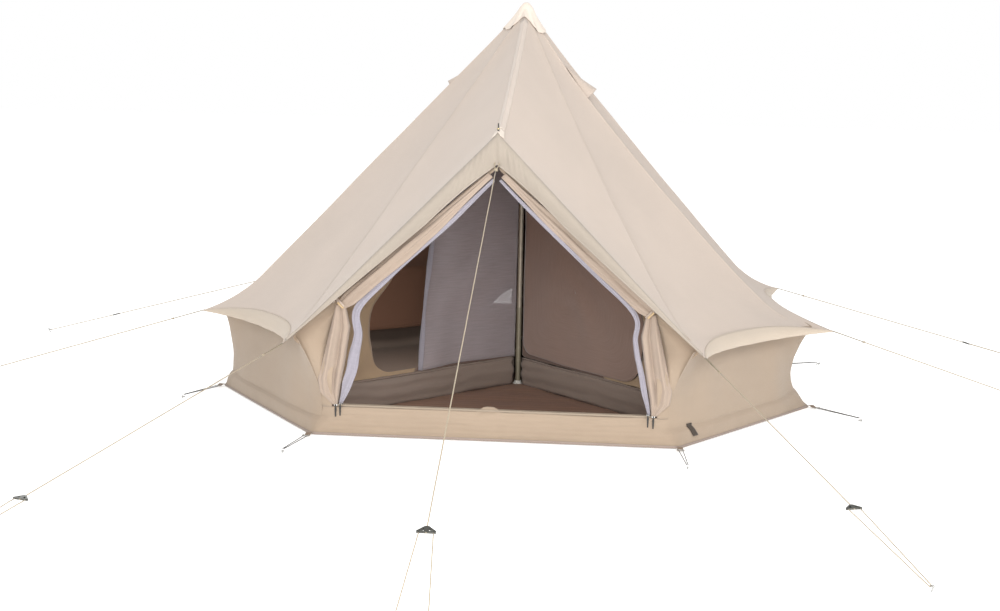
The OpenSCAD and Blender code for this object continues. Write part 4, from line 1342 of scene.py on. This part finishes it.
def build_cabin_net_left():
    """The left cabin's net door, drawn towards the pole: c is 0 at the pole and 1 at its free edge."""

    def point(z, c):
        edge = between(FREE_EDGE, z)
        r = lerp(0.040, edge, c)
        rise = 0.009 * math.sin(math.pi * c) * (1 - smooth((z - OPEN_NET_Z[0]) / 0.2))
        swing = 0.012 * math.sin(c * 9 + z * 4) * smooth((c - 0.6) / 0.4)
        return on_front(-1, r, z + rise, 0.012 + net_wrinkle(r, z, 4.0) * 1.3 + swing)

    rows = [[point(z, c) for c in np.linspace(0, 1, 60)] for z in np.linspace(*OPEN_NET_Z, 70)]
    panel = grid("cabin_net_left", rows, thickness=0.0006)
    place(panel, NET_PANEL, "roof", ["cabin_door_left"])
    path = [point(z, 1.0) for z in np.linspace(*OPEN_NET_Z, 60)]

    def section(s, a):
        half = 0.011 + 0.003 * math.sin(19 * s)
        return half * math.cos(a), 0.003 * math.sin(a) + 0.001 * math.sin(3 * a + 20 * s)

    hem = loft("cabin_net_hem", path, section, 16, up=(0, -1, 0))
    place(hem, NET_HEM, "roof")


SHELL_GAP = 0.070
REAR_COLUMN = SIDE_START[3] + SIDE_COLUMNS // 2


def shell_rows(side):
    """A cabin's ceiling and outer wall, hung a little inside the roof and the side walls."""
    edge = ROOF_ROWS[-1]
    first = int(np.argmax(np.arctan2(edge[:, 0], -edge[:, 1]) > CABIN_AZ))
    columns = range(first - 1, REAR_COLUMN + 1)
    lifts = lift_directions(edge)
    rows = []
    for k in range(5, ROOF_ROWS.shape[0] - 8, 2):
        rows.append([ROOF_ROWS[k, side * j] - lifts[side * j] * SHELL_GAP for j in columns])
    last = rows[-1]
    for s in np.linspace(0.1, 1, 12):
        row = []
        for q, j in zip(last, columns):
            foot = unit(flat(edge[side * j])) * (np.linalg.norm(flat(q)) - 0.14)
            p = lerp(q, foot + vec(0, 0, TRAY_TOP - 0.01), s)
            row.append(p + unit(flat(p)) * 0.004 * math.sin(j * 0.9 + s * 5))
        rows.append(row)
    return rows


def cabin_shell(side):
    def at_window(p):
        return p[1] > 1.0 and in_half_moon(p[0], p[2], -0.02)

    return grid(f"shell_{side}", shell_rows(side), skip=at_window)


def cabin_divider(side):
    """The wall between the two cabins, behind the pole."""
    rows = []
    for y in np.linspace(0.07, 1.30, 24):
        top = max(0.40, min(1.60, 1.70 - 0.93 * y))
        heights = np.linspace(FRONT_LIFT, top, 24)
        rows.append([vec(side * (0.032 + 0.004 * ripple(vec(y, z, 0), 5, 3)), y, z) for z in heights])
    return grid(f"divider_{side}", rows)


def tray_slack(side, r):
    """How unevenly the tray's upper edge hangs."""
    return 0.006 * ripple(vec(r, 2, side), 4, 3)


def tray_front(side):
    """The upright front of a cabin's floor tray."""
    rows = []
    for s in np.linspace(0, 1, 12):
        row = []
        for r in np.linspace(TRAY_START, FRONT_END, 90):
            lean = 0.010 * math.sin(math.pi * s) + 0.007 * ripple(vec(r * 1.5, s * 1.5, side), 3.5, 6)
            fold = 0.003 * math.sin(s * 16 + ripple(vec(r, 0, side), 4, 2) * 3)
            z = lerp(0.007, TRAY_TOP, s) + tray_slack(side, r) * s
            row.append(on_front(side, r, z, 0.006 + lean + fold))
        rows.append(row)
    return grid(f"tray_{side}", rows, thickness=0.002)


def tray_floor(side):
    """A cabin's own floor, with a low edge against the tent's walls."""
    inset = [g - unit(g) * 0.17 for g in GROUND[1:4]]
    behind = [vec(0.03, inset[-1][1], 0), vec(0.03, 0.06, 0)]
    edge = [on_front(1, FRONT_R[0], 0), on_front(1, 1.46, 0), *inset, *behind]
    ring = outline_points(edge, 12)
    centre = vec(0.56, 0.30, 0)
    shares = [0.01, *np.linspace(0.1, 0.98, 10), 1.0, 1.0, 1.0]
    rows = []
    for k, s in enumerate(shares):
        lift = 0.008 + 0.045 * max(0, k - 10)
        row = []
        for q in ring:
            wave = 0.003 * ripple(q * s, 6, 2) if s < 0.98 else 0
            row.append(mirrored(lerp(centre, q, s) + vec(0, 0, lift + wave), side))
        rows.append(row)
    return grid(f"tray_floor_{side}", rows, closed=True)


def tray_hem(side):
    reaches = np.linspace(TRAY_START, FRONT_END, 60)
    top = [on_front(side, r, TRAY_TOP + tray_slack(side, r), 0.008) for r in reaches]
    return cord(f"tray_hem_{side}", top, 0.0045)


def build_cabins():
    shells, inner, outer, trays = [], [], [], []
    for side in (1, -1):
        shells += [cabin_shell(side), cabin_divider(side)]
        inner.append(front_sheet(side, f"front_in_{side}", "inner"))
        outer.append(front_sheet(side, f"front_out_{side}", "outer"))
        trays += [tray_front(side), tray_floor(side), tray_hem(side)]
    place(join("cabin_canvas", shells), CABIN, "roof", ["cabin_shells"])
    place(join("cabin_front_heads", inner), HEAD, "roof", ["cabin_fronts"])
    place(join("cabin_front_strips", outer), STRIP, "roof")
    place(join("cabin_floors", trays), TRAY, ROOT, ["cabin_trays"])


build_cabin_net_right()
build_cabin_net_left()
build_cabins()

# ---------------------------------------------------------------- rear window

REAR_LEAN = math.radians(7)
REAR_Y = GROUND[3][1]


def half_moon_edge(half, rise, count):
    """Outline of a half moon: along its arc, then back along its straight foot. Drawn as (x, up)."""
    radius = (half**2 + rise**2) / (2 * rise)
    reach = math.asin(half / radius)
    turns = np.linspace(-reach, reach, count)
    arc = [(radius * math.sin(a), rise - radius + radius * math.cos(a)) for a in turns]
    foot = [(lerp(half, -half, k / (count // 2)), 0.0) for k in range(1, count // 2)]
    return arc + foot


def on_rear(x, up, out):
    """A point of the rear wall's plane at the window, out away from the tent."""
    lean_y, lean_z = -math.sin(REAR_LEAN), math.cos(REAR_LEAN)
    height = WINDOW_Z + up
    return vec(x, REAR_Y + lean_y * height + lean_z * out, lean_z * height + math.sin(REAR_LEAN) * out)


def moon_sheet(name, half, rise, out, seed, thickness, turn=1, drop=0.0):
    """A waved half moon on the rear wall's plane. turn is -1 for one that hangs down."""
    edge = half_moon_edge(half, rise, 60)
    rows = []
    for s in np.linspace(0.01, 1, 16):
        row = []
        for x, up in edge:
            x, up = x * s, lerp(rise * 0.4, up, s)
            wave = 0.003 * ripple(vec(x, up, seed), 8, seed) + 0.003 * math.sin(x * 30 + seed) * (up / rise)
            row.append(on_rear(x, turn * up - drop, out + wave))
        rows.append(row)
    return grid(name, rows, closed=True, thickness=thickness)


def binding_sheet(out):
    """The tape round the window, on one face of the wall."""
    outer = half_moon_edge(WINDOW_HALF + 0.004, WINDOW_RISE + 0.004, 60)
    inner = half_moon_edge(WINDOW_HALF - 0.024, WINDOW_RISE - 0.024, 60)
    rows = []
    for s in np.linspace(0, 1, 6):
        lift = out + math.copysign(0.0015 * math.sin(math.pi * s), out)
        rows.append([on_rear(lerp(a[0], b[0], s), lerp(a[1] - 0.004, b[1] + 0.012, s), lift)
                     for a, b in zip(outer, inner)])
    return grid(f"binding_{out}", rows, closed=True)


def build_window():
    half = WINDOW_HALF - 0.008
    net = moon_sheet("rear_net", half, WINDOW_RISE - 0.008, -0.004, 1, 0.0006)
    place(net, NET, ROOT, ["window_net"])
    binding = join("rear_binding", [binding_sheet(out) for out in (0.010, -0.014)])
    place(binding, TRAY, ROOT, ["window_binding"])
    cover = moon_sheet("rear_cover", half, WINDOW_RISE, 0.012, 6, 0.002, turn=-1, drop=0.007)
    place(cover, WALL, "window_cover", ["window_cover"])


build_window()

# ---------------------------------------------------------------- guy lines and corners

GUY_NAMES = ("front_right", "side_right", "flank_right", "rear_right",
             "rear_left", "flank_left", "side_left", "front_left")
RUNNER_SHARE = 0.718
LEG_OUT = 0.023
PEG_SIDE = 0.0052
LINE_RADIUS = 0.0022
LEG_RADIUS = 0.0020
ELASTIC_RADIUS = 0.0018
ELASTIC_END = 0.160
DOOR_LOOP_END = 0.062
DOOR_KNOT = vec(0, -1.534, 1.243)
DOOR_PEG = vec(0.05, -4.13, 0.012)
JOINTS = {j["name"]: j for j in frame["joints"]}


def guy_direction(name):
    """Along a guy line, away from the tent."""
    return -vec(*JOINTS[f"slide_runner_{name}"]["axis"])


def runner_place(name, start):
    """Where the runner's middle sits on its line."""
    d = guy_direction(name)
    reach = max((node_points(f"runner_{name}") - start) @ d) - 0.005
    return start + d * reach


def sideways(d):
    """The level direction across d."""
    return unit(vec(-d[1], d[0], 0))


def knot(name, at, size):
    """A small overhand knot: a tight coil round the line."""
    path = []
    for a in np.linspace(0, math.tau * 2.2, 40):
        path.append(at + vec(math.cos(a) * size, math.sin(a) * size, (a / 14 - 0.5) * size * 1.6))
    return cord(name, path, size * 0.55, 7)


def build_guy(name, start, pegs, tied_at, body):
    """A guy line from tied_at metres off its tip to its runner, and the two legs to its pegs."""
    d = guy_direction(name)
    runner = runner_place(name, start)
    hook = runner + d * 0.006
    upper = [cord(f"upper_{name}", line(start + d * tied_at, hook, 24), LINE_RADIUS, twist=260),
             knot(f"knot_{name}", start + d * (tied_at + 0.004), 0.0042)]
    legs = []
    for s, peg in ((-1, pegs[0]), (1, pegs[-1])):
        side = sideways(d) * s
        leg = line(peg + side * PEG_SIDE, hook + side * LEG_OUT, 24)
        legs.append(cord(f"leg_{name}_{s}", leg, LEG_RADIUS, twist=260))
    replaced = {"front_right": ["guy_cords"], "door": ["door_guy_cord"]}.get(name, [])
    place(join(f"guy_{name}", upper), CORD, body, replaced)
    loops = paint(join(f"legs_{name}", legs), CORD)
    peg = (pegs[0] + pegs[-1]) / 2
    tuple(peg)
    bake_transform(loops)


def elastic_cord(name, a, b, count):
    return cord(name, line(a, b, count), ELASTIC_RADIUS, twist=300)


def build_tip_guys():
    """The eight lines from the eave tips, each tied to a doubled elastic."""
    loops = []
    for start, name in zip(TIPS, GUY_NAMES):
        d = guy_direction(name)
        peg = start + (runner_place(name, start) - start) / RUNNER_SHARE
        build_guy(name, start, [peg], ELASTIC_END, ROOT)
        for s in (-1, 1):
            side = sideways(d) * s * 0.0030
            near, far = start - d * 0.004 + side, start + d * 0.158 + side * 0.4
            loops.append(elastic_cord(f"elastic_{name}_{s}", near, far, 10))
    return loops


def corner_elastics():
    """The doubled elastics from the ground corners to their pegs."""
    elastics = []
    for i, ground in enumerate(GROUND):
        out = corner_direction(i)
        for s in (-1, 1):
            near = ground + out * 0.070 + sideways(out) * s * 0.009 + vec(0, 0, 0.006)
            far = ground + out * 0.366 + sideways(out) * s * 0.003 + vec(0, 0, 0.012)
            elastics.append(elastic_cord(f"corner_{i}_{s}", near, far, 12))
    return elastics


def door_loop():
    """The loop of line round the frame's head, with its knot."""
    d = guy_direction("door")
    end = DOOR_KNOT + d * DOOR_LOOP_END
    loop = []
    for s in (-1, 1):
        bend = DOOR_KNOT + d * 0.03 + vec(s * 0.008, 0, 0)
        path = curve_through([DOOR_KNOT + vec(s * 0.011, 0.006, 0.006), bend, end], 16)
        loop.append(cord(f"door_loop_{s}", path, 0.0026))
    return [*loop, knot("door_knot", end, 0.006)]


def build_guys():
    at_tips = build_tip_guys()
    elastics = corner_elastics()
    build_guy("door", DOOR_KNOT, [flip(DOOR_PEG), DOOR_PEG], DOOR_LOOP_END, "roof")
    place(join("shock_loops", elastics), ELASTIC_MAT, ROOT, ["shock_cords"])
    place(join("tip_loops", at_tips), TIP_ELASTIC, ROOT)
    place(join("door_line_loop", door_loop()), CORD, "roof")


def corner_cluster(i):
    points = node_points("corner_tabs")
    nearest = np.argmin([np.linalg.norm(points - g, axis=1) for g in GROUND], axis=0)
    return points[nearest == i]


def corner_direction(i):
    """The way corner i's tab and elastic point, away from the tent."""
    return unit(flat(corner_cluster(i).mean(0) - GROUND[i]))


TAB_HALF = 0.0125
RING_FRONT = 0.015
RING_BACK = 0.009


def corner_tab(i):
    """The webbing tab at a ground corner."""
    out = corner_direction(i)
    rows = []
    for s in np.linspace(0, 1, 14):
        height = 0.006 + 0.004 * math.sin(s * 5 + i) + 0.003 * s
        middle = GROUND[i] + out * lerp(0.004, 0.050, s) + vec(0, 0, height)
        rows.append([middle + sideways(out) * w for w in np.linspace(-TAB_HALF, TAB_HALF, 6)])
    return grid(f"tab_{i}", rows, thickness=0.0024)


def corner_ring(i):
    """The D-ring held by the tab."""
    out = corner_direction(i)
    centre = GROUND[i] + out * 0.056 + vec(0, 0, 0.006)
    ring = []
    for a in np.linspace(0, math.tau, 33)[:-1]:
        u = math.cos(a)
        reach = (RING_FRONT if u > 0 else RING_BACK) * u
        ring.append(centre + out * reach + sideways(out) * 0.016 * math.sin(a))
    return cord(f"ring_{i}", [*ring, ring[0], ring[1]], 0.0022)


def build_corners():
    tabs = [corner_tab(i) for i in range(len(GROUND))]
    rings = [corner_ring(i) for i in range(len(GROUND))]
    place(join("corner_webbing", tabs), WEBBING, ROOT, ["corner_tabs"])
    place(join("corner_rings", rings), PEG, ROOT)


TAG_Z = (0.036, 0.094)


def build_tag():
    """A small blank label sewn on aslant, low on the wall by the front corner."""
    rows = []
    for z in np.linspace(*TAG_Z, 10):
        middle = lerp(0.121, 0.106, (z - TAG_Z[0]) / (TAG_Z[1] - TAG_Z[0]))
        curl = side_dir(0) * (0.0035 + 0.004 * smooth((0.06 - z) / 0.024))
        shares = middle + np.linspace(-0.014, 0.014, 9)
        rows.append([wall_surface(0, t, z / WALL_END_Z) + curl for t in shares])
    place(grid("blank_tag", rows), TAG, ROOT)


build_guys()
build_corners()
build_tag()

# ---------------------------------------------------------------- hard parts that keep their solids

BEVELS = {"pole_foot": 0.0012, "pole_clamp": 0.0015, "clamp_lever": 0.0008, "pole_spike": 0.0005,
          "frame_head": 0.0010, "frame_feet": 0.0010, "tie_toggle": 0.0012, "runner": 0.0007,
          "peak_eyelet": 0.0004, "pole_lower": 0.0004, "pole_middle": 0.0004, "pole_upper": 0.0004}
FINISHES = {"pole_foot": FOOT, "pole_lower": OLIVE, "pole_middle": STEEL, "pole_upper": STEEL,
            "pole_clamp": PLASTIC, "clamp_lever": LEVER, "pole_spike": STEEL, "frame_head": PLASTIC,
            "frame_rafters": STEEL, "frame_legs": STEEL, "frame_feet": PLASTIC, "tie_toggle": WOOD,
            "peak_eyelet": BRASS, "zip_chains": ZIP, "zip_slider": SILVER, "zip_pull": RUBBER,
            "runner": RUNNER, "pegs": PEG}
SMALL_BEVEL = 0.0003


def look_up(table, name, default):
    """The table's entry whose key begins the node's name."""
    return next((value for key, value in table.items() if name.startswith(key)), default)


def finish_hard_parts():
    for name, obj in frame["nodes"].items():
        mat = look_up(FINISHES, name, None)
        if mat is None:
            continue
        paint(obj, mat)
        size = look_up(BEVELS, name, SMALL_BEVEL)
        bevel = obj.modifiers.new("Rounded", "BEVEL")
        bevel.width, bevel.segments, bevel.limit_method = size, 2, "ANGLE"
        bevel.angle_limit = math.radians(40)


finish_hard_parts()

# ---------------------------------------------------------------- camera, light and floor

CAMERA_AT = (0.624, -8.659, 1.588)
CAMERA_YAW = math.radians(-4.80)
CAMERA_PITCH = math.radians(-7.68)
CAMERA_ROLL = math.radians(1.24)
CAMERA_LENS = 59.6


def build_camera():
    data = bpy.data.cameras.new("camera")
    data.lens, data.sensor_width = CAMERA_LENS, 36.0
    cam = bpy.data.objects.new("camera", data)
    level = math.cos(CAMERA_PITCH)
    forward = Vector((math.sin(CAMERA_YAW) * level, math.cos(CAMERA_YAW) * level, math.sin(CAMERA_PITCH)))
    right = Vector((math.cos(CAMERA_YAW), -math.sin(CAMERA_YAW), 0))
    up = right.cross(forward)
    tilted_right = right * math.cos(CAMERA_ROLL) + up * math.sin(CAMERA_ROLL)
    tilted_up = up * math.cos(CAMERA_ROLL) - right * math.sin(CAMERA_ROLL)
    turn = Matrix((tilted_right, tilted_up, -forward)).transposed().to_4x4()
    cam.matrix_world = Matrix.Translation(CAMERA_AT) @ turn
    bpy.context.scene.collection.objects.link(cam)
    bpy.context.scene.camera = cam


def area_light(name, at, target, size, power, colour=(1, 1, 1)):
    data = bpy.data.lights.new(name, "AREA")
    data.size, data.energy, data.color = size, power, colour
    lamp = bpy.data.objects.new(name, data)
    lamp.location = at
    lamp.visible_camera = False
    lamp.rotation_euler = (Vector(target) - Vector(at)).to_track_quat("-Z", "Y").to_euler()
    bpy.context.scene.collection.objects.link(lamp)


SKY_LIGHT = 0.70
FLOOR_GLOW = 0.45
FLOOR_HALF = 60.0


def build_stage():
    lines = np.linspace(-FLOOR_HALF, FLOOR_HALF, 9)
    rows = [[(x, y, -0.004) for x in lines] for y in lines]
    floor = grid("floor", rows, thickness=0)
    mat, tree, bsdf, _ = new_material("floor_paint")
    mottle = noise_of(tree, add(tree, "ShaderNodeTexCoord").outputs["Object"], 0.6, 3.0)
    tree.links.new(shaded(tree, (0.93, 0.93, 0.925), 0.99, 1.0, mottle), bsdf.inputs["Base Color"])
    bsdf.inputs["Roughness"].default_value = 0.95
    bsdf.inputs["Specular IOR Level"].default_value = 0.0
    bsdf.inputs["Emission Color"].default_value = (1, 1, 1, 1)
    bsdf.inputs["Emission Strength"].default_value = FLOOR_GLOW
    paint(floor, mat)
    world = bpy.data.worlds.new("studio")
    world.use_nodes = True
    background = world.node_tree.nodes["Background"]
    background.inputs[0].default_value = (1.0, 1.0, 1.0, 1)
    seen = add(world.node_tree, "ShaderNodeLightPath").outputs["Is Camera Ray"]
    strength = ranged(world.node_tree, seen, target=(SKY_LIGHT, 1.0))
    world.node_tree.links.new(strength, background.inputs[1])
    bpy.context.scene.world = world
    bpy.context.scene.view_settings.view_transform = "Standard"
    area_light("front", (0.3, -9.6, 2.3), (0, -0.5, 0.7), 5.0, 560, (1.0, 0.985, 0.96))
    area_light("key", (4.5, -7.0, 7.0), (0, -0.3, 0.9), 4.0, 330, (1.0, 0.99, 0.97))
    area_light("back", (-5.0, 8.0, 6.0), (0, 0.3, 0.8), 6.0, 220, (0.98, 0.99, 1.0))
    area_light("cabin", (-0.40, 0.0, 0.80), (-1.15, 0.35, 0.20), 0.25, 4.0, (1.0, 0.93, 0.86))


build_camera()
build_stage()
